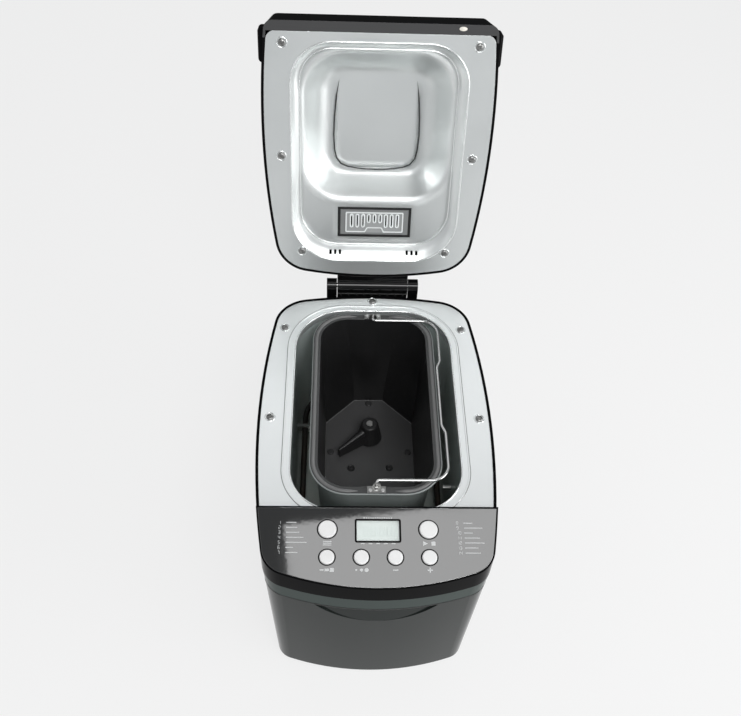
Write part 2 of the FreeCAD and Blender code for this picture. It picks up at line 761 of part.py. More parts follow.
def opening_wire(z, grow=0.0):
    return round_rect(
        z, OPENING_HALF, OPENING_FRONT, OPENING_BACK, OPENING_FRONT_CORNER, OPENING_BACK_CORNER, grow
    )


def deck_screws():
    return group(screw(x, y, DECK_Z, False) for x, y in deck_screw_places())


# Control panel


def control_panel():
    plate = prism(bowed_wire(SEAM_Z, FASCIA_LIP), BIG / 4)
    plate = plate.common(over_panel(STEP_Y - FASCIA_LIP, FASCIA_THICKNESS))
    plate = plate.common(under_panel(STEP_Y, 0))
    for x, row, radius in BUTTONS.values():
        hole = rod(x, -row, -BIG / 10, radius + BUTTON_GAP, BIG / 5)
        plate = plate.cut(on_panel(hole))
    lcd = block(-LCD_HALF, LCD_HALF, lcd_y(-1), lcd_y(1), -BIG / 10, BIG / 10)
    plate = plate.cut(on_panel(lcd))
    length = BOARD_DROP - FASCIA_THICKNESS
    posts = [on_panel(rod(x, y, -BOARD_DROP, BOARD_POST, length)) for x, y in board_posts()]
    return plate.fuse(posts).removeSplitter()


def lcd_y(side):
    return -LCD_ROW + side * LCD_DEPTH / 2


def board_posts():
    inset = BOARD_POST * 1.5
    middle = -(LARGE_ROW + SMALL_ROW) / 2
    reach = BOARD_DEPTH / 2 - inset
    return [(sx * (BOARD_HALF - inset), middle + sy * reach) for sx in (-1, 1) for sy in (-1, 1)]


def lcd_window():
    lens = block(
        -LCD_HALF + SEAT_GAP, LCD_HALF - SEAT_GAP, lcd_y(-1) + SEAT_GAP, lcd_y(1) - SEAT_GAP, -LCD_LENS, 0
    )
    return on_panel(lens)


def lcd_module():
    """The display in its bezel, between the fascia and the board."""
    half = LCD_HALF + LCD_BEZEL
    y0 = lcd_y(-1) - LCD_BEZEL
    y1 = lcd_y(1) + LCD_BEZEL
    return on_panel(block(-half, half, y0, y1, -BOARD_DROP, -FASCIA_THICKNESS))


def control_board():
    middle = -(LARGE_ROW + SMALL_ROW) / 2
    reach = BOARD_DEPTH / 2
    board = block(
        -BOARD_HALF, BOARD_HALF, middle - reach, middle + reach, -BOARD_DROP - BOARD_THICKNESS, -BOARD_DROP
    )
    return on_panel(board)


def button_stem_end():
    return -FASCIA_THICKNESS - BUTTON_TRAVEL - BUTTON_FLANGE


def tact_switches():
    top = button_stem_end() - BUTTON_TRAVEL - BUTTON_GAP
    half = SWITCH_SIZE / 2
    switches = []
    for x, row, _ in BUTTONS.values():
        case = block(x - half, x + half, -row - half, -row + half, -BOARD_DROP, top - BUTTON_TRAVEL)
        plunger = rod(x, -row, top - BUTTON_TRAVEL, half / 2, BUTTON_TRAVEL)
        switches.append(on_panel(fused(case, plunger)))
    return group(switches)


def button(x, row, radius):
    """A round cap with a softly rounded edge, a retaining flange and a short stem."""
    cap = rod(x, -row, -FASCIA_THICKNESS - SEAT_GAP, radius, FASCIA_THICKNESS + SEAT_GAP + BUTTON_RISE)
    rim = [edge for edge in cap.Edges if abs(edge.CenterOfMass.z - BUTTON_RISE) < 1e-6]
    cap = cap.makeFillet(BUTTON_RISE / 2, rim)
    flange_top = -FASCIA_THICKNESS - SEAT_GAP
    flange = rod(x, -row, flange_top - BUTTON_FLANGE, radius + BUTTON_FLANGE, BUTTON_FLANGE)
    stem = rod(x, -row, button_stem_end(), SWITCH_SIZE / 2, BUTTON_TRAVEL + BUTTON_FLANGE)
    return on_panel(fused(cap, flange, stem))


# Oven chamber and heater


def oven_chamber():
    height = DECK_Z - DECK_THICKNESS - CHAMBER_Z
    outer = prism(opening_wire(CHAMBER_Z, CHAMBER_GROW + CHAMBER_WALL), height)
    outer = outer.makeFillet(CHAMBER_FLOOR_RADIUS, bottom_edges(outer, CHAMBER_Z))
    inner = prism(opening_wire(CHAMBER_FLOOR, CHAMBER_GROW), height)
    inner = inner.makeFillet(CHAMBER_FLOOR_RADIUS - CHAMBER_WALL, bottom_edges(inner, CHAMBER_FLOOR))
    flange = prism(
        opening_wire(CHAMBER_Z + height - CHAMBER_WALL, CHAMBER_GROW + CHAMBER_FLANGE), CHAMBER_WALL
    )
    flange = flange.common(block(-BIG, BIG, STEP_Y + SEAT_GAP, BIG, 0, BIG))
    tub = outer.fuse(flange).cut(inner)
    tub = tub.common(block(-BIG, BIG, STEP_Y + SEAT_GAP / 2, BIG, 0, BIG))
    tub = tub.cut(rod(0, SHAFT_Y, CHAMBER_Z, BEARING_BOSS + SEAT_GAP, CHAMBER_WALL))
    for x in heater_ends():
        tub = tub.cut(rod(x, OPENING_FRONT, heater_z(), BUSHING_NECK, BIG / 10, Vector(0, -1, 0)))
    tub = tub.cut(rod(OPENING_HALF, sensor_y(), sensor_z(), SENSOR_PROBE, BIG / 10, Vector(1, 0, 0)))
    return tub.removeSplitter()


def bottom_edges(shape, z):
    return [edge for edge in shape.Edges if abs(edge.BoundBox.ZMax - z) < 1e-6]


def heater_z():
    return CHAMBER_FLOOR + HEATER_LIFT


def heater_ends():
    return (HEATER_END_X, HEATER_END_X + HEATER_END_PITCH)


def sensor_y():
    return OPENING_FRONT + SENSOR_BEHIND_OPENING


def sensor_z():
    return DECK_Z - SENSOR_BELOW_DECK


def heating_element():
    half = OPENING_HALF + CHAMBER_GROW - HEATER_WALL_GAP
    front = OPENING_FRONT - CHAMBER_GROW + HEATER_WALL_GAP
    back = OPENING_BACK + CHAMBER_GROW - HEATER_WALL_GAP
    z = heater_z()
    start, end = heater_ends()
    tail = STEP_Y - HEATER_TAIL
    points = [
        Vector(start, tail, z),
        Vector(start, front, z),
        Vector(-half, front, z),
        Vector(-half, back, z),
        Vector(half, back, z),
        Vector(half, front, z),
        Vector(end, front, z),
        Vector(end, tail, z),
    ]
    long_bends = [HEATER_BEND, HEATER_BEND, HEATER_BEND]
    bends = [HEATER_END_BEND] + long_bends + [end_side_bend(half, end), HEATER_END_BEND]
    return bent_tube(points, bends, HEATER_TUBE)


def end_side_bend(half, end):
    """The bend beside the heater's second tail takes what its short front run leaves."""
    return min(HEATER_BEND, half - end - HEATER_END_BEND * 1.2)


def heater_clips():
    """Saddles that carry the tube off the chamber's side walls."""
    wall = OPENING_HALF + CHAMBER_GROW
    half = wall - HEATER_WALL_GAP
    rows = (
        OPENING_FRONT + OPENING_FRONT_CORNER + HEATER_CLIP_HEIGHT,
        OPENING_BACK - OPENING_BACK_CORNER - HEATER_CLIP_HEIGHT,
    )
    hole = HEATER_TUBE + HEATER_CLEARANCE
    clips = []
    for y in rows:
        for side in (-1, 1):
            x0, x1 = sorted((side * wall, side * (half - HEATER_TUBE * 2)))
            z0 = heater_z() - HEATER_CLIP_HEIGHT / 2
            saddle = block(x0, x1, y, y + HEATER_CLIP_WIDTH, z0, z0 + HEATER_CLIP_HEIGHT)
            bore = rod(side * half, y, heater_z(), hole, HEATER_CLIP_WIDTH, Vector(0, 1, 0))
            clips.append(saddle.cut(bore))
    return group(clips)


def heater_bushings():
    """Ceramic bushings where the tube leaves through the front wall."""
    outside = STEP_Y + SEAT_GAP / 2
    inside = OPENING_FRONT - CHAMBER_GROW
    forward = Vector(0, -1, 0)
    bushings = []
    for x in heater_ends():
        neck = rod(x, inside, heater_z(), BUSHING_NECK, inside - outside, forward)
        flange = rod(x, outside, heater_z(), BUSHING_FLANGE, BUSHING_FLANGE_THICKNESS, forward)
        bore = rod(x, BIG / 2, heater_z(), HEATER_TUBE + HEATER_CLEARANCE, BIG, forward)
        bushings.append(fused(neck, flange).cut(bore))
    return group(bushings)


def temperature_sensor():
    wall = OPENING_HALF + CHAMBER_GROW
    axis = Vector(1, 0, 0)
    y = sensor_y()
    z = sensor_z()
    probe = rod(wall - SENSOR_REACH, y, z, SENSOR_PROBE, SENSOR_REACH + CHAMBER_WALL, axis)
    flange = rod(wall + CHAMBER_WALL, y, z, SENSOR_FLANGE, CHAMBER_WALL * 2, axis)
    lead = rod(wall + CHAMBER_WALL * 3, y, z, SENSOR_PROBE, SENSOR_REACH / 2, axis)
    return fused(probe, flange, lead)


def thermal_fuse():
    wall = -OPENING_HALF - CHAMBER_GROW - CHAMBER_WALL
    y = sensor_y()
    z = sensor_z()
    case = block(wall - FUSE_HEIGHT, wall, y, y + FUSE_LENGTH, z, z + FUSE_WIDTH)
    outer_edges = [edge for edge in case.Edges if edge.CenterOfMass.x < wall - FUSE_HEIGHT * 0.9]
    return case.makeFillet(FUSE_HEIGHT / 3, outer_edges)


# Pan seat and drive train


def pan_seat():
    inner = RING_OUTER + SEAT_CLEARANCE
    floor = rod(0, SHAFT_Y, CHAMBER_FLOOR, inner + SEAT_WALL, SEAT_FLOOR)
    wall = ring(0, SHAFT_Y, SEAT_TOP, inner + SEAT_WALL, inner, SEAT_RIM)
    hole = rod(0, SHAFT_Y, CHAMBER_FLOOR, COUPLER_DISC + SEAT_FLANGE, SEAT_FLOOR)
    gap = block(-BIG, BIG, SHAFT_Y - CLIP_WIDTH, SHAFT_Y + CLIP_WIDTH, SEAT_TOP, BIG)
    return fused(floor, wall.cut(gap)).cut(hole)


def pan_clips():
    """Leaf springs on the chamber floor that grip the pan's base ring through gaps in the seat."""
    foot_x = RING_OUTER + SEAT_CLEARANCE + SEAT_WALL
    half = CLIP_WIDTH / 2
    outline = [
        Vector(foot_x + CLIP_FOOT, 0, CHAMBER_FLOOR),
        Vector(foot_x, 0, CHAMBER_FLOOR),
        Vector(foot_x, 0, CHAMBER_FLOOR + CLIP_HEIGHT * 0.6),
        Vector(foot_x - CLIP_LEAN, 0, CHAMBER_FLOOR + CLIP_HEIGHT * 0.8),
        Vector(foot_x, 0, CHAMBER_FLOOR + CLIP_HEIGHT),
    ]
    thickness = CLIP_THICKNESS
    back = [
        Vector(foot_x + thickness, 0, CHAMBER_FLOOR + CLIP_HEIGHT),
        Vector(foot_x - CLIP_LEAN + thickness, 0, CHAMBER_FLOOR + CLIP_HEIGHT * 0.8),
        Vector(foot_x + thickness, 0, CHAMBER_FLOOR + CLIP_HEIGHT * 0.6),
        Vector(foot_x + thickness, 0, CHAMBER_FLOOR + thickness),
        Vector(foot_x + CLIP_FOOT, 0, CHAMBER_FLOOR + thickness),
    ]
    wire = Part.makePolygon(outline + back + outline[:1])
    right = Part.Face(wire).extrude(Vector(0, CLIP_WIDTH, 0))
    right.translate(Vector(0, SHAFT_Y - half, 0))
    left = right.mirror(Vector(0, 0, 0), Vector(1, 0, 0))
    return group([right, left])


def chassis_plate():
    """Hemmed steel plate that carries the motor, the bearing and the chamber."""
    front = FRONT_Y + CHASSIS_FRONT_MARGIN
    back = BACK_Y - CHASSIS_BACK_MARGIN
    plate = prism(
        round_rect(CHASSIS_Z, CHASSIS_HALF, front, back, CHASSIS_CORNER, CHASSIS_CORNER), CHASSIS_THICKNESS
    )
    hem_y0 = front + CHASSIS_CORNER
    hem_y1 = back - CHASSIS_CORNER
    hems = []
    for side in (-1, 1):
        x0, x1 = sorted((side * CHASSIS_HALF, side * (CHASSIS_HALF - CHASSIS_THICKNESS)))
        hems.append(block(x0, x1, hem_y0, hem_y1, CHASSIS_Z - CHASSIS_HEM, CHASSIS_Z))
    plate = plate.fuse(hems)
    plate = plate.cut(rod(0, SHAFT_Y, CHASSIS_Z, BEARING_BOSS, CHASSIS_THICKNESS))
    plate = plate.cut(rod(MOTOR_X, MOTOR_Y, CHASSIS_Z, MOTOR_SHAFT * 2, CHASSIS_THICKNESS))
    return plate.removeSplitter()


def post_places():
    rows = (FRONT_Y + POST_FRONT_MARGIN, BACK_Y - POST_BACK_MARGIN)
    return [(side * POST_X, y) for y in rows for side in (-1, 1)]


def chamber_spacers():
    places = [(x, y) for x, y in post_places() if y > STEP_Y]
    front_y = OPENING_FRONT + OPENING_FRONT_CORNER
    places += [(-POST_X, front_y), (POST_X, front_y)]
    return group(rod(x, y, CHASSIS_TOP, SPACER_RADIUS, CHAMBER_LIFT) for x, y in places)


def drive_bearing():
    bottom = CHASSIS_Z - BEARING_DROP
    boss = rod(0, SHAFT_Y, bottom, BEARING_BOSS, SEAT_TOP - bottom)
    flange = rod(0, SHAFT_Y, CHASSIS_TOP, BEARING_FLANGE, BEARING_FLANGE_THICKNESS)
    bore = rod(0, SHAFT_Y, bottom, DRIVE_SHAFT + SHAFT_RUN, SEAT_TOP - bottom)
    return fused(boss, flange).cut(bore)


def coupler_z():
    return SEAT_TOP + COUPLER_GAP


def drive_shaft():
    return rod(0, SHAFT_Y, PULLEY_Z, DRIVE_SHAFT, coupler_z() + COUPLER_DISC_HEIGHT - PULLEY_Z)


def drive_coupler():
    """A disc with two upright lugs that push the dog under the pan."""
    z = coupler_z()
    disc = rod(0, SHAFT_Y, z, COUPLER_DISC, COUPLER_DISC_HEIGHT)
    disc = disc.cut(rod(0, SHAFT_Y, z, DRIVE_SHAFT + SHAFT_PRESS, COUPLER_DISC_HEIGHT))
    top = z + COUPLER_DISC_HEIGHT
    half = LUG_WIDTH / 2
    bar = block(-COUPLER_DISC, COUPLER_DISC, SHAFT_Y - half, SHAFT_Y + half, top, top + LUG_HEIGHT)
    lugs = bar.common(ring(0, SHAFT_Y, top, COUPLER_DISC, LUG_INNER, LUG_HEIGHT))
    return fused(disc, *lugs.Solids)


def pulley_profile(radius, bore, hub, web):
    """Half section of a flanged pulley, to be turned about its shaft."""
    flange = radius + PULLEY_FLANGE
    z0 = PULLEY_Z
    z1 = PULLEY_TOP
    middle = (z0 + z1) / 2
    rim = radius - web
    points = [
        (bore, z0),
        (hub, z0),
        (hub, middle - web / 2),
        (rim, middle - web / 2),
        (rim, z0),
        (flange, z0),
        (flange, z0 + PULLEY_FLANGE_WIDTH),
        (radius, z0 + PULLEY_FLANGE_WIDTH),
        (radius, z1 - PULLEY_FLANGE_WIDTH),
        (flange, z1 - PULLEY_FLANGE_WIDTH),
        (flange, z1),
        (rim, z1),
        (rim, middle + web / 2),
        (hub, middle + web / 2),
        (hub, z1),
        (bore, z1),
    ]
    return [Vector(r, 0, z) for r, z in points]


def turned(points, x, y):
    wire = Part.makePolygon(points + points[:1])
    solid = Part.Face(wire).revolve(Vector(0, 0, 0), Vector(0, 0, 1), 360)
    solid.translate(Vector(x, y, 0))
    return solid


def large_pulley():
    bore = DRIVE_SHAFT + SHAFT_PRESS
    wheel = turned(pulley_profile(LARGE_PULLEY, bore, PULLEY_HUB, PULLEY_WEB), 0, SHAFT_Y)
    reach = (PULLEY_HUB + LARGE_PULLEY - PULLEY_WEB) / 2
    for index in range(PULLEY_HOLES):
        turn = 2 * math.pi * index / PULLEY_HOLES
        x = reach * math.cos(turn)
        y = SHAFT_Y + reach * math.sin(turn)
        wheel = wheel.cut(rod(x, y, PULLEY_Z, PULLEY_HOLE, PULLEY_WIDTH))
    return wheel


def small_pulley():
    bore = MOTOR_SHAFT + SHAFT_PRESS
    flange = SMALL_PULLEY + PULLEY_FLANGE
    body = ring(MOTOR_X, MOTOR_Y, PULLEY_Z, flange, bore, PULLEY_WIDTH)
    groove = ring(
        MOTOR_X,
        MOTOR_Y,
        PULLEY_Z + PULLEY_FLANGE_WIDTH,
        flange + 1,
        SMALL_PULLEY,
        PULLEY_WIDTH - 2 * PULLEY_FLANGE_WIDTH,
    )
    return body.cut(groove)


def belt_wire(z, grow):
    """The loop round both pulleys: two arcs and the two outer tangents."""
    large = Vector(0, SHAFT_Y, z)
    small = Vector(MOTOR_X, MOTOR_Y, z)
    r0 = LARGE_PULLEY + grow
    r1 = SMALL_PULLEY + grow
    along = small - large
    distance = along.Length
    along.normalize()
    across = Vector(-along.y, along.x, 0)
    lean = math.asin((r0 - r1) / distance)
    left = along * math.sin(lean) + across * math.cos(lean)
    right = along * math.sin(lean) - across * math.cos(lean)
    edges = [
        line(large + left * r0, small + left * r1),
        Part.Arc(small + left * r1, small + along * r1, small + right * r1).toShape(),
        line(small + right * r1, large + right * r0),
        Part.Arc(large + right * r0, large - along * r0, large + left * r0).toShape(),
    ]
    return Part.Wire(edges)


def drive_belt():
    z = PULLEY_Z + PULLEY_FLANGE_WIDTH + BELT_SIDE_GAP
    width = PULLEY_WIDTH - 2 * (PULLEY_FLANGE_WIDTH + BELT_SIDE_GAP)
    return prism(belt_wire(z, BELT_RUN + BELT_THICKNESS), width).cut(prism(belt_wire(z, BELT_RUN), width))


def motor_body():
    """Shaded core between two cast end shields."""
    core_z = CHASSIS_TOP + MOTOR_SHIELD
    core_height = MOTOR_HEIGHT - 2 * MOTOR_SHIELD
    lower = rod(MOTOR_X, MOTOR_Y, CHASSIS_TOP, MOTOR_RADIUS, MOTOR_SHIELD)
    upper = rod(MOTOR_X, MOTOR_Y, core_z + core_height, MOTOR_RADIUS, MOTOR_SHIELD)
    half = MOTOR_CORE_HALF
    core = block(-half, half, -half, half, core_z, core_z + core_height)
    core.translate(Vector(MOTOR_X, MOTOR_Y, 0))
    core = core.common(rod(MOTOR_X, MOTOR_Y, core_z, MOTOR_RADIUS + SEAT_GAP, core_height))
    bore = rod(MOTOR_X, MOTOR_Y, CHASSIS_TOP, MOTOR_SHAFT + SHAFT_RUN, MOTOR_HEIGHT)
    return fused(lower, core, upper).cut(bore)


def motor_shaft():
    return rod(MOTOR_X, MOTOR_Y, PULLEY_Z, MOTOR_SHAFT, CHASSIS_TOP + MOTOR_HEIGHT - PULLEY_Z)


def capacitor():
    can = rod(CAPACITOR_X, MOTOR_Y, CHASSIS_TOP, CAPACITOR_RADIUS, CAPACITOR_HEIGHT)
    top = CHASSIS_TOP + CAPACITOR_HEIGHT
    rim = [edge for edge in can.Edges if abs(edge.CenterOfMass.z - top) < 1e-6]
    return can.makeFillet(CAPACITOR_RADIUS / 6, rim)


def power_board():
    """Board on four stand-offs, with its relay and smoothing capacitor."""
    z = CHASSIS_TOP + POWER_BOARD_LIFT
    x0 = POWER_BOARD_X - POWER_BOARD_HALF
    x1 = POWER_BOARD_X + POWER_BOARD_HALF
    y0 = MOTOR_Y - POWER_BOARD_DEPTH / 2
    y1 = MOTOR_Y + POWER_BOARD_DEPTH / 2
    pieces = [block(x0, x1, y0, y1, z, z + BOARD_THICKNESS)]
    inset = BOARD_POST * 2
    for x in (x0 + inset, x1 - inset):
        for y in (y0 + inset, y1 - inset):
            pieces.append(rod(x, y, CHASSIS_TOP, BOARD_POST, POWER_BOARD_LIFT))
    top = z + BOARD_THICKNESS
    relay = TRANSFORMER_SIZE / 2
    pieces.append(block(x1 - relay - inset, x1 - inset, y0 + inset, y0 + inset + relay, top, top + relay))
    pieces.append(rod(x1 - relay, y1 - relay, top, relay / 2, relay))
    return fused(*pieces)


def transformer():
    z = CHASSIS_TOP + POWER_BOARD_LIFT + BOARD_THICKNESS
    x0 = POWER_BOARD_X - POWER_BOARD_HALF + BOARD_POST
    y0 = MOTOR_Y - TRANSFORMER_SIZE / 2
    core = block(x0, x0 + TRANSFORMER_SIZE, y0, y0 + TRANSFORMER_SIZE, z, z + TRANSFORMER_HEIGHT)
    middle = x0 + TRANSFORMER_SIZE / 2
    quarter = TRANSFORMER_SIZE / 4
    winding = block(
        middle - quarter,
        middle + quarter,
        y0 - quarter / 2,
        y0 + TRANSFORMER_SIZE + quarter / 2,
        z + TRANSFORMER_HEIGHT / 4,
        z + TRANSFORMER_HEIGHT * 3 / 4,
    )
    return fused(core, winding)


# Base plate and feet


def base_plate():
    """Bottom cover with posts for the chassis and rows of cooling slots."""
    inset = SEAM_TUCK + BODY_TAPER + HOUSING_WALL + BASE_GAP
    plate = prism(bowed_wire(BASE_Z, inset), BASE_THICKNESS)
    posts = [rod(x, y, BASE_TOP, POST_RADIUS, CHASSIS_Z - BASE_TOP) for x, y in post_places()]
    plate = plate.fuse(posts)
    for x, y in base_screw_places():
        plate = plate.cut(screw_bore(x, y, BASE_Z, BASE_TOP))
    for x, y in foot_places():
        plate = plate.cut(rod(x, y, BASE_Z, FOOT_STUD, BASE_THICKNESS))
    first = -VENT_SLOT_PITCH * (VENT_SLOTS - 1) / 2
    half = VENT_SLOT_WIDTH / 2
    for row_y in (MOTOR_Y, SHAFT_Y):
        for index in range(VENT_SLOTS):
            x = first + index * VENT_SLOT_PITCH
            slot = block(x - half, x + half, row_y, row_y + VENT_SLOT_LENGTH, BASE_Z, BASE_TOP)
            plate = plate.cut(slot)
    return plate.removeSplitter()


def base_screws():
    return group(screw(x, y, BASE_Z, True) for x, y in base_screw_places())


def foot_places():
    rows = (FRONT_Y + FOOT_FROM_END, BACK_Y - FOOT_FROM_END)
    return [(side * side_x(y, FOOT_INSET), y) for y in rows for side in (-1, 1)]


def feet():
    pads = []
    for x, y in foot_places():
        pad = rod(x, y, 0, FOOT_RADIUS, FOOT_HEIGHT)
        stud = rod(x, y, FOOT_HEIGHT, FOOT_STUD, BASE_THICKNESS)
        pads.append(fused(pad, stud))
    return group(pads)


def gland_z():
    return BASE_Z + GLAND_ABOVE_BASE


def gland_wall_y():
    return back_y(GLAND_X, taper_inset(gland_z()))


def cord_gland():
    """Grommet in the back wall: a neck through the wall between an inner and an outer flange."""
    z = gland_z()
    backward = Vector(0, 1, 0)
    outer = loft(
        bowed_wire(BASE_Z, taper_inset(BASE_Z)),
        bowed_wire(SEAM_Z, taper_inset(SEAM_Z)),
    )
    start = gland_wall_y() - HOUSING_WALL * 3
    reach = HOUSING_WALL * 3 + GLAND_FLANGE_THICKNESS + HOUSING_WALL
    neck = rod(GLAND_X, start, z, GLAND_NECK, reach, backward)
    flange_start = gland_wall_y() - HOUSING_WALL
    flange = rod(GLAND_X, flange_start, z, GLAND_FLANGE, reach - HOUSING_WALL * 2, backward)
    bore = rod(GLAND_X, start, z, GLAND_BORE, reach, backward)
    return neck.fuse(flange.cut(outer)).cut(bore).removeSplitter()


# Hinge


def hinge_bracket():
    """Two lugs on the housing's back that hold the hinge pins."""
    lugs = []
    inner = HINGE_BLOCK_HALF + HINGE_SIDE_GAP
    bottom = HINGE_Z - BRACKET_DROP
    for side in (-1, 1):
        x0, x1 = sorted((side * inner, side * (inner + EAR_BLOCK)))
        lugs.append(hinge_lug(x0, x1, bottom))
    bar = block(-inner - EAR_BLOCK, inner + EAR_BLOCK, BACK_Y - BIG / 10, BACK_Y + BRACKET_THICKNESS,
                bottom, HINGE_Z - HINGE_RADIUS * 2)
    bracket = lugs[0].fuse([lugs[1], bar])
    for side in (-1, 1):
        bracket = bracket.cut(rod(0, HINGE_Y, HINGE_Z, HINGE_PIN + SHAFT_PRESS, BIG, Vector(side, 0, 0)))
    return bracket.cut(frame_outside()).removeSplitter()


def frame_outside():
    """The housing's outer form round the hinge bracket."""
    return fused(
        prism(bowed_wire(BAND_Z, 0), BIG / 4),
        loft(bowed_wire(SEAM_Z, SEAM_TUCK), bowed_wire(BAND_Z, 0)),
    ).common(block(-BIG, BIG, 0, BIG, 0, BIG))


def hinge_lug(x0, x1, bottom):
    """A side plate that runs up the back wall and rounds off about the hinge axis."""
    axis = Vector(x0, HINGE_Y, HINGE_Z)
    top = Vector(x0, HINGE_Y, HINGE_Z + HINGE_RADIUS)
    rear = Vector(x0, HINGE_Y + HINGE_RADIUS, HINGE_Z)
    nose = Vector(x0, HINGE_Y - HINGE_RADIUS, HINGE_Z)
    inside = BACK_Y - BIG / 10
    shoulder_z = DECK_Z - HINGE_RADIUS
    foot = Vector(x0, BACK_Y + BRACKET_THICKNESS, bottom)
    heel = Vector(x0, rear.y, HINGE_Z - HINGE_RADIUS)
    throat = Vector(x0, nose.y, shoulder_z)
    edges = [
        line(Vector(x0, inside, bottom), foot),
        line(foot, heel),
        line(heel, rear),
        arc(axis, rear, top),
        arc(axis, top, nose),
        line(nose, throat),
        line(throat, Vector(x0, inside, shoulder_z)),
        line(Vector(x0, inside, shoulder_z), Vector(x0, inside, bottom)),
    ]
    return Part.Face(Part.Wire(edges)).extrude(Vector(x1 - x0, 0, 0))


def hinge_pins():
    length = HINGE_PIN_INSERT + HINGE_SIDE_GAP + EAR_BLOCK
    start = HINGE_BLOCK_HALF - HINGE_PIN_INSERT
    pins = []
    for side in (-1, 1):
        pins.append(rod(side * start, HINGE_Y, HINGE_Z, HINGE_PIN, length, Vector(side, 0, 0)))
    return group(pins)


def hinge_block():
    """The lid's half of the hinge: a ribbed barrel on an arm that reaches the lid's back wall."""
    half = HINGE_BLOCK_HALF
    axis = Vector(1, 0, 0)
    barrel = rod(-half, HINGE_Y, HINGE_Z, HINGE_RADIUS, 2 * half, axis)
    arm = block(-half, half, BACK_Y - BIG / 10, HINGE_Y, LID_Z, LID_Z + HINGE_ARM_HEIGHT)
    slope = Part.makePolygon(
        [
            Vector(-half, HINGE_Y, HINGE_Z + HINGE_RADIUS),
            Vector(-half, HINGE_Y, LID_Z + HINGE_ARM_HEIGHT),
            Vector(-half, BACK_Y, LID_Z + HINGE_ARM_HEIGHT),
            Vector(-half, HINGE_Y, HINGE_Z + HINGE_RADIUS),
        ]
    )
    arm = arm.cut(Part.Face(slope).extrude(Vector(2 * half, 0, 0)))
    body = fused(barrel, arm).cut(lid_outside(0.0))
    body = body.cut(block(-BIG, BIG, -BIG, BACK_Y - LID_DRAFT * 2, 0, BIG))
    pitch = 2 * half / (HINGE_RIBS + 1)
    for index in range(HINGE_RIBS):
        x = -half + pitch * (index + 1)
        groove = ring(0, 0, 0, HINGE_RADIUS + 1, HINGE_RADIUS - 1.2, HINGE_RIB_GAP)
        groove.rotate(Vector(0, 0, 0), Vector(0, 1, 0), 90)
        groove.translate(Vector(x - HINGE_RIB_GAP / 2, HINGE_Y, HINGE_Z))
        body = body.cut(groove.common(block(-BIG, BIG, HINGE_Y, BIG, 0, BIG)))
    for side in (-1, 1):
        start = side * (half - HINGE_PIN_INSERT)
        body = body.cut(rod(start, HINGE_Y, HINGE_Z, HINGE_PIN + HINGE_PIN_RUN, BIG, Vector(side, 0, 0)))
    return opened(body.removeSplitter())


# Lid


def lid_crown(drop):
    """Everything under the lid's arched top, lowered by drop."""
    front = Vector(-BIG, LID_FRONT, LID_Z + LID_FRONT_HEIGHT - drop)
    crown = Vector(-BIG, (LID_FRONT + BACK_Y) / 2, LID_Z + LID_CROWN_HEIGHT - drop)
    back = Vector(-BIG, BACK_Y, LID_Z + LID_BACK_HEIGHT - drop)
    edges = [
        Part.Arc(front, crown, back).toShape(),
        line(back, Vector(-BIG, BACK_Y, 0)),
        line(Vector(-BIG, BACK_Y, 0), Vector(-BIG, LID_FRONT, 0)),
        line(Vector(-BIG, LID_FRONT, 0), front),
    ]
    return Part.Face(Part.Wire(edges)).extrude(Vector(2 * BIG, 0, 0))


def lid_outside(inset):
    """The lid's outer form drawn in by inset, before its top edge is rounded."""
    top = LID_Z + LID_CROWN_HEIGHT
    sides = loft(lid_wire(LID_Z, inset), lid_wire(top, inset + LID_DRAFT))
    return sides.common(lid_crown(inset))


def lid_shell():
    outer = lid_outside(0.0)
    top_edges = [edge for edge in outer.Edges if edge.BoundBox.ZMin > LID_Z + LID_BACK_HEIGHT / 2]
    outer = outer.makeFillet(LID_TOP_ROUND, top_edges)
    inner = lid_outside(LID_WALL)
    inner_edges = [edge for edge in inner.Edges if edge.BoundBox.ZMin > LID_Z + LID_BACK_HEIGHT / 2]
    inner = inner.makeFillet(LID_TOP_ROUND - LID_WALL, inner_edges)
    flange_back = LID_FRONT + LINER_FRONT_INSET
    front_flange = block(-BIG, BIG, LID_FRONT, flange_back, LID_Z, LINER_Z + LINER_THICKNESS)
    shell = outer.cut(inner).fuse(front_flange.common(inner))
    boss_z = LINER_Z + LINER_THICKNESS
    for x, y in lid_screw_places():
        boss = rod(x, y, boss_z, SCREW_BOSS, BIG / 4).common(outer)
        shell = shell.fuse(boss).cut(screw_bore(x, y, boss_z, boss_z + SCREW_LENGTH))
    first = -STEAM_SLOT_PITCH * (STEAM_SLOTS - 1) / 2
    half = STEAM_SLOT_WIDTH / 2
    middle = (VENT_FRONT + VENT_BACK) / 2
    for index in range(STEAM_SLOTS):
        x = first + index * STEAM_SLOT_PITCH
        y0 = middle - STEAM_SLOT_LENGTH / 2
        slot = block(x - half, x + half, y0, y0 + STEAM_SLOT_LENGTH, DOME_Z, BIG)
        shell = shell.cut(slot)
    return opened(shell.removeSplitter())


def lid_screw_places():
    rows = (
        (LID_FRONT + LID_SCREW_FROM_FRONT, LID_SCREW_SIDE_INSET),
        (LID_FRONT + LID_SCREW_MIDDLE_FROM_FRONT, LID_SCREW_SIDE_INSET),
        (BACK_Y - LID_SCREW_FROM_BACK, LID_SCREW_REAR_SIDE_INSET),
    )
    return [(side * side_x(y, inset), y) for y, inset in rows for side in (-1, 1)]


def recess_wire(z, shrink, back_shrink, grow):
    return round_rect(
        z,
        RECESS_HALF - shrink,
        RECESS_FRONT + shrink,
        RECESS_BACK - back_shrink,
        RECESS_FRONT_CORNER - shrink,
        RECESS_BACK_CORNER - shrink,
        grow,
    )


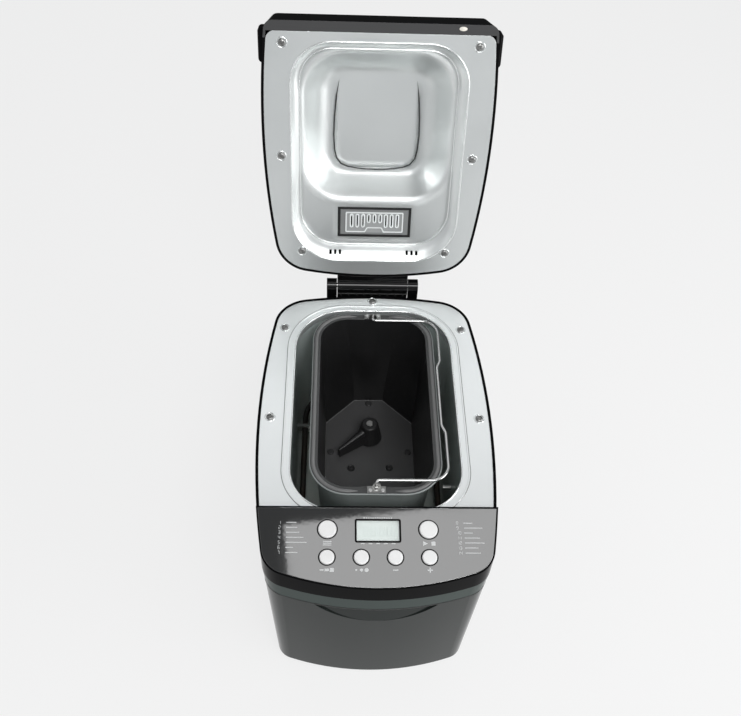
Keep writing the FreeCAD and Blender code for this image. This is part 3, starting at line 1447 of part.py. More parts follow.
def dome_wire(z, shrink, grow):
    return round_rect(
        z,
        DOME_HALF - shrink,
        DOME_FRONT + shrink,
        DOME_BACK - shrink,
        DOME_CORNER - shrink,
        DOME_CORNER - shrink,
        grow,
    )


def liner_hollow(grow):
    """The room under the pressed liner: shallow recess, deep dome and the plateau in its roof."""
    recess = loft(
        recess_wire(LINER_Z, 0, 0, grow), recess_wire(RECESS_Z + grow, RECESS_BAND, RECESS_BACK_BAND, grow)
    )
    dome = loft(dome_wire(RECESS_Z + grow, 0, grow), dome_wire(DOME_Z + grow, DOME_DRAFT, grow))
    rim = [edge for edge in dome.Edges if edge.BoundBox.ZMin > DOME_Z + grow - 1e-4]
    dome = dome.makeFillet(DOME_ROUND + grow, rim)
    hollow = recess.fuse(dome).removeSplitter()
    mouth = [edge for edge in hollow.Edges if on_dome_mouth(edge, RECESS_Z + grow, grow)]
    hollow = hollow.makeFillet(DOME_MOUTH_ROUND - grow, mouth)
    return hollow.fuse(plateau(grow)).removeSplitter()


def on_dome_mouth(edge, z, grow):
    """Whether an edge lies on the line where the dome rises out of the recess."""
    box = edge.BoundBox
    level = abs(box.ZMin - z) < 1e-4 and abs(box.ZMax - z) < 1e-4
    reach = DOME_HALF + grow + DOME_SIDE_GAP / 2
    back = DOME_BACK + grow + DOME_SIDE_GAP / 2
    front = DOME_FRONT - grow - DOME_SIDE_GAP / 2
    return level and box.XMax < reach and box.XMin > -reach and box.YMax < back and box.YMin > front


def plateau(grow):
    """A shallow tongue pressed into the dome's roof that runs out towards the front."""
    back = DOME_BACK - PLATEAU_BACK_INSET
    front = DOME_FRONT + PLATEAU_FRONT_INSET
    half = DOME_HALF - PLATEAU_SIDE_INSET
    top = DOME_Z + grow
    tongue = prism(
        round_rect(top - PLATEAU_DEPTH, half, front, back, PLATEAU_CORNER, PLATEAU_CORNER, grow),
        2 * PLATEAU_DEPTH,
    )
    wedge = Part.makePolygon(
        [
            Vector(-BIG, front - grow, top - PLATEAU_DEPTH),
            Vector(-BIG, back + grow, top - PLATEAU_DEPTH),
            Vector(-BIG, back + grow, top + PLATEAU_DEPTH),
            Vector(-BIG, front - grow, top),
            Vector(-BIG, front - grow, top - PLATEAU_DEPTH),
        ]
    )
    return tongue.common(Part.Face(wedge).extrude(Vector(2 * BIG, 0, 0)))


def lid_liner():
    flange = prism(lid_wire(LINER_Z, LINER_INSET, LINER_FRONT_INSET - LINER_INSET), LINER_THICKNESS)
    sheet = flange.fuse(liner_hollow(LINER_THICKNESS)).cut(liner_hollow(0.0))
    sheet = sheet.cut(block(-VENT_HALF, VENT_HALF, VENT_FRONT, VENT_BACK, LINER_Z, DOME_Z))
    for x, y in lid_screw_places():
        sheet = sheet.cut(screw_bore(x, y, LINER_Z, LINER_Z + LINER_THICKNESS))
    band_y = RECESS_BACK - RECESS_BACK_BAND / 2
    half = BAND_SLOT_WIDTH / 2
    for side in (-1, 1):
        for step in (-1, 0, 1):
            x = side * BAND_SLOT_X + step * BAND_SLOT_PITCH
            y0 = band_y - BAND_SLOT_LENGTH / 2
            sheet = sheet.cut(block(x - half, x + half, y0, y0 + BAND_SLOT_LENGTH, LINER_Z, DOME_Z))
    return opened(sheet.removeSplitter())


def lid_screws():
    return group(opened(screw(x, y, LINER_Z, True)) for x, y in lid_screw_places())


def lid_grips():
    """Finger tabs on both sides of the lid near its front."""
    z0 = LID_Z + GRIP_LIFT
    y0 = LID_FRONT + GRIP_FRONT_INSET
    inset = LID_DRAFT
    outside = lid_outside(0.0)
    x0 = side_x(y0, inset) - GRIP_REACH
    x1 = side_x(y0, 0) + GRIP_REACH
    tab = block(x0, x1, y0, y0 + GRIP_LENGTH, z0, z0 + GRIP_HEIGHT)
    outer_edges = [edge for edge in tab.Edges if edge.CenterOfMass.x > x1 - 1e-6]
    right = tab.makeFillet(GRIP_ROUND, outer_edges).cut(outside)
    left = right.mirror(Vector(0, 0, 0), Vector(1, 0, 0))
    return group([opened(right), opened(left)])


def vent_frame():
    """Moulded box behind the liner that holds the steam filter cover."""
    z = RECESS_Z
    half = VENT_HALF - COVER_GAP / 2
    y0 = VENT_FRONT + COVER_GAP / 2
    y1 = VENT_BACK - COVER_GAP / 2
    box = block(-half, half, y0, y1, z, z + VENT_BOX_HEIGHT)
    room = half - VENT_WALL
    ceiling = z + VENT_BOX_HEIGHT - VENT_WALL
    box = box.cut(block(-room, room, y0 + VENT_WALL, y1 - VENT_WALL, z, ceiling))
    seat = RECESS_Z + LINER_THICKNESS
    collar = block(-half - VENT_LIP, half + VENT_LIP, y0 - VENT_LIP, y1 + VENT_LIP, seat, seat + VENT_WALL)
    collar = collar.cut(block(-half, half, y0, y1, seat, seat + VENT_WALL))
    chimney = STEAM_SLOT_WIDTH / 2
    first = -STEAM_SLOT_PITCH * (STEAM_SLOTS - 1) / 2
    frame = fused(box, collar)
    for index in range(STEAM_SLOTS):
        x = first + index * STEAM_SLOT_PITCH
        frame = frame.cut(block(x - chimney, x + chimney, y0 + 2 * VENT_WALL, y1 - 2 * VENT_WALL, z, BIG))
    return opened(frame)


def vent_cover():
    """Pull-off filter cover with a raised border line, nine oval slots and a finger notch."""
    half = VENT_HALF - COVER_GAP / 2 - VENT_WALL - COVER_GAP
    y0 = VENT_FRONT + COVER_GAP / 2 + VENT_WALL + COVER_GAP
    y1 = VENT_BACK - COVER_GAP / 2 - VENT_WALL - COVER_GAP
    z = RECESS_Z
    plate = block(-half, half, y0, y1, z, z + COVER_THICKNESS)
    skirt = block(-half, half, y0, y1, z, z + COVER_SKIRT)
    skirt = skirt.cut(
        block(
            -half + COVER_THICKNESS,
            half - COVER_THICKNESS,
            y0 + COVER_THICKNESS,
            y1 - COVER_THICKNESS,
            z,
            z + COVER_SKIRT,
        )
    )
    field = Part.Face(border_wire(half - COVER_BORDER, y0 + COVER_BORDER / 2, y1 - COVER_BORDER / 2, z))
    line_face = field.cut(field.makeOffset2D(-COVER_LINE))
    border = line_face.extrude(Vector(0, 0, -COVER_LINE_RISE))
    cover = fused(plate, skirt, border)
    slot_top = y0 + COVER_BORDER / 2 + COVER_LINE + COVER_SLOT_WIDTH
    for index in range(COVER_SLOTS):
        place = index - (COVER_SLOTS - 1) / 2
        length = COVER_SHORT_SLOT if abs(place) < 2 else COVER_LONG_SLOT
        cover = cover.cut(oval_slot(place * COVER_SLOT_PITCH, slot_top, length, z))
    return opened(cover.removeSplitter())


def border_wire(half, y0, y1, z):
    """A rounded rectangle with a trapezoid finger notch let into its back edge."""
    points = [
        Vector(-half, y0, z),
        Vector(half, y0, z),
        Vector(half, y1, z),
        Vector(NOTCH_HALF, y1, z),
        Vector(NOTCH_HALF - NOTCH_DEPTH / 2, y1 - NOTCH_DEPTH, z),
        Vector(NOTCH_DEPTH / 2 - NOTCH_HALF, y1 - NOTCH_DEPTH, z),
        Vector(-NOTCH_HALF, y1, z),
        Vector(-half, y1, z),
    ]
    return rounded_loop(points, NOTCH_ROUND)


def oval_slot(x, y, length, z):
    radius = COVER_SLOT_WIDTH / 2
    y0 = y + radius
    y1 = y + length - radius
    height = COVER_THICKNESS
    body = block(x - radius, x + radius, y0, y1, z, z + height)
    return fused(body, rod(x, y0, z, radius, height), rod(x, y1, z, radius, height))


# Bread pan


def floor_wire(z, grow):
    """The pan's floor: a rectangle with its corners cut straight."""
    half = FLOOR_HALF + grow
    y0 = FLOOR_FRONT - grow
    y1 = FLOOR_BACK + grow
    cut = FLOOR_CHAMFER + grow * (2 - math.sqrt(2))
    points = [
        Vector(cut - half, y0, z),
        Vector(half - cut, y0, z),
        Vector(half, y0 + cut, z),
        Vector(half, y1 - cut, z),
        Vector(half - cut, y1, z),
        Vector(cut - half, y1, z),
        Vector(-half, y1 - cut, z),
        Vector(-half, y0 + cut, z),
    ]
    return Part.makePolygon(points + points[:1])


def rim_wire(z, shrink):
    corner = RIM_CORNER - shrink
    return round_rect(z, RIM_HALF - shrink, RIM_FRONT + shrink, RIM_BACK - shrink, corner, corner)


def bread_pan():
    outer = loft(floor_wire(PAN_Z, PAN_WALL), rim_wire(RIM_Z, RIM_WIDTH - PAN_WALL))
    inner = loft(floor_wire(PAN_FLOOR, 0), rim_wire(RIM_Z, RIM_WIDTH))
    rim = prism(rim_wire(RIM_Z - RIM_THICKNESS, 0), RIM_THICKNESS)
    level_edges = [edge for edge in rim.Edges if edge.BoundBox.ZLength < 1e-6]
    rim = rim.makeFillet(RIM_THICKNESS * RIM_ROLL, level_edges)
    pan = outer.fuse(rim).cut(inner)
    pan = pan.cut(rod(0, SHAFT_Y, PAN_Z, PAN_BUSH, PAN_WALL))
    for x, y in floor_rivet_places():
        pan = pan.cut(rod(x, y, PAN_Z, RIVET_SHANK, PAN_WALL))
    for x, y in ear_rivet_places():
        pan = pan.cut(rod(x, y, RIM_Z - RIM_THICKNESS, RIVET_SHANK / 2, RIM_THICKNESS))
    return pan.removeSplitter()


def floor_rivet_places():
    reach = RING_OUTER - RING_WALL / 2
    turns = FLOOR_RIVET_TURNS
    places = []
    for turn in turns:
        angle = math.radians(turn)
        places.append((reach * math.cos(angle), SHAFT_Y + reach * math.sin(angle)))
    return places


def ear_rivet_places():
    x = EAR_WIDTH / 2 - RIVET_SHANK * 1.5
    front = FRONT_EAR_Y - EAR_FOOT / 2
    back = BACK_EAR_Y + EAR_FOOT / 2
    return [(side * x, y) for y in (front, back) for side in (-1, 1)]


def pan_ring():
    """Cast ring under the pan that drops into the seat."""
    body = ring(0, SHAFT_Y, SEAT_TOP, RING_OUTER, RING_OUTER - RING_WALL, PAN_RING_HEIGHT)
    for x, y in floor_rivet_places():
        body = body.cut(rod(x, y, PAN_Z - PAN_RING_HEIGHT / 2, RIVET_SHANK, PAN_RING_HEIGHT / 2))
    return body


def pan_rivets():
    rivets = []
    for x, y in floor_rivet_places():
        rivets.append(rivet(x, y, PAN_FLOOR, RIVET_SHANK, PAN_WALL + PAN_RING_HEIGHT / 2, RIVET_HEAD))
    for x, y in ear_rivet_places():
        grip = RIM_THICKNESS + EAR_THICKNESS
        rivets.append(rivet(x, y, RIM_Z + EAR_THICKNESS, RIVET_SHANK / 2, grip, RIVET_HEAD / 2))
    return group(rivets)


def rivet(x, y, z, shank, length, head):
    """A dome-headed rivet whose head sits on a face at z."""
    height = RIVET_HEAD_HEIGHT * head / RIVET_HEAD
    cap = rod(x, y, z, head, height)
    rim = [edge for edge in cap.Edges if abs(edge.CenterOfMass.z - z - height) < 1e-6]
    cap = cap.makeFillet(height * 0.7, rim)
    return fused(cap, rod(x, y, z - length, shank, length))


def pan_ears():
    """Riveted brackets that stand on the rim and hold the bail's ends."""
    ears = []
    for y, outward in ((FRONT_EAR_Y, -1), (BACK_EAR_Y, 1)):
        half = EAR_WIDTH / 2
        y0, y1 = sorted((y, y + outward * EAR_FOOT))
        foot = block(-half, half, y0, y1, RIM_Z, RIM_Z + EAR_THICKNESS)
        w0, w1 = sorted((y, y - outward * EAR_THICKNESS))
        plate = rod(0, w0, PIVOT_Z, EAR_HEIGHT / 2, w1 - w0, Vector(0, 1, 0))
        web = block(-half, half, w0, w1, RIM_Z, RIM_Z + EAR_THICKNESS)
        neck = block(-EAR_HEIGHT / 2, EAR_HEIGHT / 2, w0, w1, RIM_Z, PIVOT_Z)
        ear = fused(foot, plate, web, neck)
        ear = ear.cut(rod(0, w0, PIVOT_Z, BAIL_WIRE + BAIL_RUN, w1 - w0, Vector(0, 1, 0)))
        for x, rivet_y in ear_rivet_places():
            ear = ear.cut(rod(x, rivet_y, RIM_Z, RIVET_SHANK / 2, EAR_THICKNESS))
        ears.append(ear)
    return group(ears)


def bail_handle():
    """Bent wire carrying handle, folded down to the right, drawn in at the grip."""
    front_end = FRONT_EAR_Y - EAR_THICKNESS
    back_end = BACK_EAR_Y + EAR_THICKNESS
    front = FRONT_EAR_Y + EAR_THICKNESS + BAIL_ARM_INSET
    back = BACK_EAR_Y - EAR_THICKNESS - BAIL_ARM_INSET
    middle = (front + back) / 2
    grip0 = middle - BAIL_GRIP_LENGTH / 2
    grip1 = middle + BAIL_GRIP_LENGTH / 2
    path = [
        (0, front_end),
        (0, front),
        (BAIL_SIDE, front),
        (BAIL_SIDE, grip0 - BAIL_JOG),
        (BAIL_GRIP_SIDE, grip0),
        (BAIL_GRIP_SIDE, grip1),
        (BAIL_SIDE, grip1 + BAIL_JOG),
        (BAIL_SIDE, back),
        (0, back),
        (0, back_end),
    ]
    points = [Vector(x, y, PIVOT_Z) for x, y in path]
    small = BAIL_WIRE * 2
    bends = [small, BAIL_JOG * 2, BAIL_JOG, BAIL_JOG, BAIL_JOG, BAIL_JOG, BAIL_JOG * 2, small]
    return bent_tube(points, bends, BAIL_WIRE)


# Pan shaft and paddle


def pan_bearing():
    """Bush through the pan's floor with a flange underneath."""
    neck_top = PAN_FLOOR + PAN_BUSH_RISE
    neck = rod(0, SHAFT_Y, PAN_Z, PAN_BUSH, neck_top - PAN_Z)
    flange = rod(0, SHAFT_Y, PAN_Z - PAN_BUSH_DROP, PAN_BUSH_FLANGE, PAN_BUSH_DROP)
    bore = rod(0, SHAFT_Y, PAN_Z - PAN_BUSH_DROP, PAN_SHAFT + SHAFT_RUN, BIG / 10)
    return fused(neck, flange).cut(bore)


def shaft_seal():
    z = PAN_FLOOR
    return ring(0, SHAFT_Y, z, PAN_BUSH + SEAL_HEIGHT * 2, PAN_BUSH, SEAL_HEIGHT)


def dog_z():
    return coupler_z() + COUPLER_DISC_HEIGHT + COUPLER_GAP


def shaft_top():
    return PAN_FLOOR + SHAFT_RISE


def shaft_flat(clearance):
    """The slice taken off the shaft's upper end, so that the paddle turns with it."""
    bottom = paddle_z()
    x0 = PAN_SHAFT - FLAT_DEPTH + clearance
    return block(x0, BIG / 10, SHAFT_Y - BIG / 10, SHAFT_Y + BIG / 10, bottom, shaft_top())


def paddle_z():
    return PAN_FLOOR + PAN_BUSH_RISE + SEAT_GAP


def pan_shaft():
    return rod(0, SHAFT_Y, dog_z(), PAN_SHAFT, shaft_top() - dog_z()).cut(shaft_flat(0.0))


def pan_dog():
    """Cross bar on the shaft's lower end that the coupler's lugs push."""
    z = dog_z()
    half = DOG_WIDTH / 2
    bar = block(-half, half, SHAFT_Y - DOG_HALF, SHAFT_Y + DOG_HALF, z, z + DOG_HEIGHT)
    hub = rod(0, SHAFT_Y, z, PAN_SHAFT * 1.8, DOG_HEIGHT)
    return fused(bar, hub).cut(rod(0, SHAFT_Y, z, PAN_SHAFT + SHAFT_PRESS, DOG_HEIGHT))


def kneading_paddle():
    """Tapered hub with one blade that narrows towards its tip."""
    z = paddle_z()
    hub = Part.makeCone(PADDLE_HUB_FOOT, PADDLE_HUB_TOP, PADDLE_HUB_HEIGHT, Vector(0, SHAFT_Y, z))
    root = blade_section(0, PADDLE_ROOT_THICKNESS, PADDLE_ROOT_HEIGHT, z)
    tip = blade_section(PADDLE_REACH, PADDLE_TIP_THICKNESS, PADDLE_TIP_HEIGHT, z)
    blade = loft(root, tip)
    blade.rotate(Vector(0, 0, 0), Vector(0, 0, 1), PADDLE_ANGLE)
    blade.translate(Vector(0, SHAFT_Y, 0))
    bore = rod(0, SHAFT_Y, z, PAN_SHAFT + PADDLE_FIT, shaft_top() - z).cut(shaft_flat(PADDLE_FIT))
    top = z + PADDLE_HUB_HEIGHT
    hub_rim = [edge for edge in hub.Edges if abs(edge.BoundBox.ZMin - top) < 1e-6]
    hub = hub.makeFillet(PADDLE_HUB_TOP / 4, hub_rim)
    return fused(hub, blade).cut(bore)


def blade_section(reach, thickness, height, z):
    """An upright section of the blade, thick at its foot and rounded over at its top."""
    half = thickness / 2
    shoulder = height - half
    edges = [
        line(Vector(reach, -half, z), Vector(reach, half, z)),
        line(Vector(reach, half, z), Vector(reach, half * 0.7, z + shoulder)),
        Part.Arc(
            Vector(reach, half * 0.7, z + shoulder),
            Vector(reach, 0, z + height),
            Vector(reach, -half * 0.7, z + shoulder),
        ).toShape(),
        line(Vector(reach, -half * 0.7, z + shoulder), Vector(reach, -half, z)),
    ]
    return Part.Wire(edges)


def build():
    """Every node of the assembly by name."""
    makers = [
        lower_housing,
        upper_frame,
        control_panel,
        lcd_window,
        lcd_module,
        control_board,
        tact_switches,
        deck_plate,
        deck_screws,
        oven_chamber,
        heating_element,
        heater_clips,
        heater_bushings,
        temperature_sensor,
        thermal_fuse,
        pan_seat,
        pan_clips,
        chassis_plate,
        chamber_spacers,
        drive_bearing,
        drive_shaft,
        drive_coupler,
        large_pulley,
        drive_belt,
        motor_body,
        motor_shaft,
        small_pulley,
        capacitor,
        power_board,
        transformer,
        base_plate,
        base_screws,
        feet,
        cord_gland,
        hinge_bracket,
        hinge_pins,
        lid_shell,
        lid_liner,
        lid_screws,
        lid_grips,
        hinge_block,
        vent_frame,
        vent_cover,
        bread_pan,
        pan_ring,
        pan_rivets,
        pan_ears,
        bail_handle,
        pan_bearing,
        shaft_seal,
        pan_shaft,
        pan_dog,
        kneading_paddle,
    ]
    nodes = {maker.__name__: maker() for maker in makers}
    for name, size in BUTTONS.items():
        nodes[name] = button(*size)
    to_middle = Vector(0, -middle_y(nodes["lid_shell"]), 0)
    for shape in nodes.values():
        shape.translate(to_middle)
    return nodes


def middle_y(lid):
    """Half way between the housing's front and the open lid's rearmost point."""
    points, _ = lid.tessellate(MIDDLE_TOLERANCE)
    return (FRONT_Y + max(point.y for point in points)) / 2


def main():
    os.makedirs("parts", exist_ok=True)
    for name, shape in build().items():
        shape.exportStep(f"parts/{name}.step")


if __name__ == "__main__":
    main()
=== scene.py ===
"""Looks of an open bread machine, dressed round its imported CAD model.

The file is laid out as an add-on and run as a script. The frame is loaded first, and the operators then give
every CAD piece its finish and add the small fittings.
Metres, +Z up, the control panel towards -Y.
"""
import json
import math

import bmesh
import bpy
from bpy.props import FloatProperty, FloatVectorProperty, PointerProperty
from mathutils import Matrix, Vector


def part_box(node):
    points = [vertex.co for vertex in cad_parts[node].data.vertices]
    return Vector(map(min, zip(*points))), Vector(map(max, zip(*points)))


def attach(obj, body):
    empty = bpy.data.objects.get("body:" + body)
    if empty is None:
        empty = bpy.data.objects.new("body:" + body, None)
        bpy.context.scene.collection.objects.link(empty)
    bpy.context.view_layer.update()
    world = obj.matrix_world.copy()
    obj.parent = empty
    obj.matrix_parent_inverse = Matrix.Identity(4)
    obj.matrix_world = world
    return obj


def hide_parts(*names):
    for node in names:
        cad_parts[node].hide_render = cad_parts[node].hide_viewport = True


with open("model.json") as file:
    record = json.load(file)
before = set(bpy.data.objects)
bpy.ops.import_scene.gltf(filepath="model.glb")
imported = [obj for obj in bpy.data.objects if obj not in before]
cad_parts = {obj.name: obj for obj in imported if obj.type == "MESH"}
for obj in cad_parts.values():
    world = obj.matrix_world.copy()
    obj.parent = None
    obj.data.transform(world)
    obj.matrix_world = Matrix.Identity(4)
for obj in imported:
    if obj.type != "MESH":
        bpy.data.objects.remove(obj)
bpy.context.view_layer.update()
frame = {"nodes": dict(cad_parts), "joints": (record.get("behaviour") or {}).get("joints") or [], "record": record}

bl_info = {
    "name": "Bread Machine",
    "version": (1, 0, 0),
    "blender": (4, 5, 0),
    "location": "View3D > Sidebar > Bread Machine",
    "description": "Finishes, printed marks and small fittings of an open bread machine",
    "category": "Object",
}

UP = Vector((0, 0, 1))

# Places and directions read from the frame
JOINTS = {joint["name"]: joint for joint in frame["joints"]}
SLOT_OF = {part["node"]: part["material_slot"] for part in frame["record"]["subparts"]}
HINGE = Vector(JOINTS["lid_hinge"]["pos_m"])
LID_TURN = Matrix.Rotation(math.radians(JOINTS["lid_hinge"]["range_deg"][0]), 4, "X")
OPENED = Matrix.Translation(HINGE) @ LID_TURN @ Matrix.Translation(-HINGE)
PANEL_OUT = -Vector(JOINTS["button_start_press"]["axis"])
PANEL_BACK = Vector((0, *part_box("control_panel")[1].yz))
PANEL_SLOPE = Matrix.Rotation(math.atan2(-PANEL_OUT.y, PANEL_OUT.z), 4, "X")
PANEL_FACE = Matrix.Translation(PANEL_BACK) @ PANEL_SLOPE
COVER_OUT = Vector(JOINTS["vent_cover_pull"]["axis"])


def middle_of(node):
    """Middle of a CAD node's box."""
    low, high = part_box(node)
    return (low + high) / 2


def lid_reach(node):
    """How far a CAD node of the open lid reaches along the pull of the vent's cover."""
    return max(vertex.co.dot(COVER_OUT) for vertex in frame["nodes"][node].data.vertices)


MIDDLE_Y = middle_of("upper_frame").y
MIDDLE = Vector((0, MIDDLE_Y, 0))
PAN_MIDDLE = middle_of("bread_pan")
PAN_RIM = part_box("bread_pan")[1].z
LINER_RIM = lid_reach("lid_liner")
LID_RIM = lid_reach("lid_shell")
COVER_MIDDLE = middle_of("vent_cover")
# How far the line on the vent's cover stands proud of its face
COVER_LINE_RISE = 0.0007
COVER_FACE = lid_reach("vent_cover") - COVER_LINE_RISE


# Settings in the sidebar


def colour(label, words, value):
    return FloatVectorProperty(
        name=label, description=words, subtype="COLOR", size=3, min=0.0, max=1.0, default=value
    )


def length(label, words, value):
    return FloatProperty(name=label, description=words, unit="LENGTH", min=0.0, default=value)


def amount(label, words, value):
    return FloatProperty(name=label, description=words, min=0.0, default=value)


class FinishColours(bpy.types.PropertyGroup):
    """Colours of the machine's finishes."""

    gloss_black: colour("Gloss black", "Lid shell, upper frame and grips", (0.003, 0.003, 0.0033))
    body_grey: colour("Body grey", "Lower housing", (0.014, 0.0175, 0.0165))
    panel_grey: colour("Panel grey", "Face of the control panel", (0.010, 0.0105, 0.0105))
    black_plastic: colour("Black plastic", "Vent frame, base and inner mouldings", (0.007, 0.007, 0.0075))
    vent_grey: colour("Vent grey", "Filter cover of the steam vent", (0.30, 0.31, 0.31))
    silver_sheet: colour("Silver sheet", "Lid liner", (0.78, 0.805, 0.80))
    deck_sheet: colour("Deck sheet", "Deck plate round the pan", (0.88, 0.905, 0.905))
    chamber_sheet: colour("Chamber sheet", "Oven walls", (0.60, 0.67, 0.645))
    nonstick: colour("Non-stick", "Coating of the pan and the paddle", (0.017, 0.017, 0.0175))
    steel: colour("Steel", "Heater, screws, plates and shafts", (0.50, 0.50, 0.49))
    bright_steel: colour("Bright steel", "Bail, pins and rivets", (0.58, 0.58, 0.575))
    buttons: colour("Buttons", "Satin faces of the push buttons", (0.76, 0.76, 0.755))
    display: colour("Display", "Face of the display", (0.76, 0.83, 0.80))
    ink: colour("Ink", "Printed numbers and symbols", (0.58, 0.59, 0.59))


class FittingSizes(bpy.types.PropertyGroup):
    """Sizes of the small fittings."""

    screw_slot: length("Screw slot", "Width of the cross slot in a screw's head", 0.0011)
    numeral: length("Numeral", "Height of the printed numbers", 0.0029)
    line_pitch: length("Line pitch", "Distance between the printed lines", 0.0048)
    rim_wire: length("Slot rim", "Thickness of the raised rims round the vent's slots", 0.0007)


class StageLook(bpy.types.PropertyGroup):
    """Floor, light and camera."""

    floor: colour("Floor", "Pale floor under the machine", (0.13, 0.13, 0.13))
    floor_glow: amount("Floor glow", "Light that the lit table gives off", 0.765)
    sky: colour("Surroundings", "Even light from all round", (0.96, 0.98, 1.0))
    sky_strength: amount("Surroundings strength", "How bright the even light is", 0.50)
    lens: FloatProperty(
        name="Lens", description="Focal length on a 36 mm sensor", unit="CAMERA", min=10.0, default=43.72
    )


# Node trees

# Share of a speck that is full, and the usual height of a grain
SPECK_CORE = 0.6
RELIEF = 0.0002
BEVEL_SAMPLES = 6
# Arms of a face from the pan's middle, along its normal, between which it turns outwards
LEAN = (0.005, 0.012)
FINISHES = {}


class Signal:
    """A socket that takes part in Python sums: each operator adds the node that works it out."""

    def __init__(self, web, socket):
        self.web = web
        self.socket = socket

    def _sum(self, operation, first, second):
        return self.web.node("ShaderNodeMath", {"operation": operation}, {0: first, 1: second})

    def __add__(self, other):
        return self._sum("ADD", self, other)

    def __radd__(self, other):
        return self._sum("ADD", other, self)

    def __sub__(self, other):
        return self._sum("SUBTRACT", self, other)

    def __rsub__(self, other):
        return self._sum("SUBTRACT", other, self)

    def __mul__(self, other):
        return self._sum("MULTIPLY", self, other)

    def __rmul__(self, other):
        return self._sum("MULTIPLY", other, self)

    def __abs__(self):
        return self._sum("ABSOLUTE", self, 0.0)

    def larger(self, other):
        return self._sum("MAXIMUM", self, other)

    def step(self, low, high):
        """Nought below low, one above high and a smooth rise between them."""
        return self.web.node(
            "ShaderNodeMapRange",
            {"interpolation_type": "SMOOTHSTEP"},
            {"Value": self, "From Min": low, "From Max": high},
        )


class Web:
    """A node tree that is written as calls: a node's kind, its settings and what its sockets take."""

    def __init__(self, tree):
        self.tree = tree

    def node(self, kind, settings=None, inputs=None, output=0):
        made = self.tree.nodes.new(kind)
        for key, value in (settings or {}).items():
            setattr(made, key, value)
        for key, value in (inputs or {}).items():
            self.feed(made.inputs[key], value)
        return Signal(self, made.outputs[output])

    def feed(self, socket, value):
        if isinstance(value, Signal):
            self.tree.links.new(value.socket, socket)
        else:
            socket.default_value = value

    def mix(self, share, first, second):
        """The first colour where share is nought and the second where it is one."""
        inputs = {0: share, 6: rgba(first), 7: rgba(second)}
        return self.node("ShaderNodeMix", {"data_type": "RGBA"}, inputs, 2)

    def vector(self, operation, first, second, output=0):
        return self.node("ShaderNodeVectorMath", {"operation": operation}, {0: first, 1: second}, output)


class Finish(Web):
    """One procedural material."""

    def __init__(self, name):
        self.name = name
        self.material = bpy.data.materials.new(name)
        self.material.use_nodes = True
        super().__init__(self.material.node_tree)
        self.shader = self.tree.nodes["Principled BSDF"]
        self.place = self.node("ShaderNodeTexCoord", output="Object")

    def surface(self, **sockets):
        """Sets or links the shader's sockets, named with underscores for spaces, and keeps the finish."""
        for key, value in sockets.items():
            self.feed(self.shader.inputs[key.replace("_", " ")], value)
        FINISHES[self.name] = self.material

    def noise(self, scale, detail=2.0, stretch=None):
        place = self.place
        if stretch:
            place = self.node("ShaderNodeMapping", {}, {"Vector": place, "Scale": stretch})
        return self.node("ShaderNodeTexNoise", {}, {"Vector": place, "Scale": scale, "Detail": detail})

    def specks(self, scale, size):
        """One inside small round specks strewn over the surface."""
        cells = self.node("ShaderNodeTexVoronoi", {}, {"Vector": self.place, "Scale": scale})
        return 1 - cells.step(size * SPECK_CORE, size)

    def height(self):
        return self.node("ShaderNodeSeparateXYZ", {}, {0: self.place}, 2)

    def along(self, direction):
        """Distance from the origin along a direction."""
        return self.vector("DOT_PRODUCT", self.place, direction, "Value")

    def outwards(self):
        """One on upright faces that look away from the pan's middle."""
        normal = self.node("ShaderNodeNewGeometry", output="Normal")
        arm = self.vector("SUBTRACT", self.place, PAN_MIDDLE)
        level = self.vector("MULTIPLY", arm, (1, 1, 0))
        return self.vector("DOT_PRODUCT", normal, level, "Value").step(*LEAN)

    def bump(self, height, strength, distance=RELIEF, edge=0.0):
        """A normal from height, with sharp edges eased by edge."""
        inputs = {"Height": height, "Strength": strength, "Distance": distance}
        if edge:
            inputs["Normal"] = self.node("ShaderNodeBevel", {"samples": BEVEL_SAMPLES}, {"Radius": edge})
        return self.node("ShaderNodeBump", {}, inputs)


def rgba(value):
    if isinstance(value, Signal):
        return value
    return (*value, 1.0)


def shade(value, factor):
    return tuple(min(1.0, part * factor) for part in value)


# Finishes

# Radii that sharp edges and the bends of a drawn sheet are eased by
EDGE = 0.0006
DRAWN_BEND = 0.0085

# Heights where the upper frame turns from a painted grey reflection to black, where the open lid's front rim
# starts, of the edge on the pan's floor, and where the oven wall's heat stain begins to fade and ends
BAND_EDGE = 0.1947
LID_STRIP = 0.4868
FLOOR_EDGE_HEIGHT = 0.0714
HEAT_FADES, HEAT_ENDS = 0.06, 0.13

# Depths under the liner's rim where its bends are wide and where it is flat
BENT_DEPTH, FLAT_DEPTH = 0.008, 0.002
# Depths under the pan's rim where its rivets are coated and bare, and where the painted highlight along its top
# edge starts and is full
COATED_DEPTH, BARE_DEPTH = 0.03, 0.02
RIM_HIGHLIGHT_START, RIM_HIGHLIGHT_FULL = 0.0006, 0.0002

# Half width and half depth of the line on the vent's cover
COVER_LINE_WIDE = 0.0316
COVER_LINE_DEEP = 0.01245

# Widths over which one tint turns into another
HAIR, THREAD, STRAND, WASH = 0.0001, 0.0003, 0.0005, 0.001

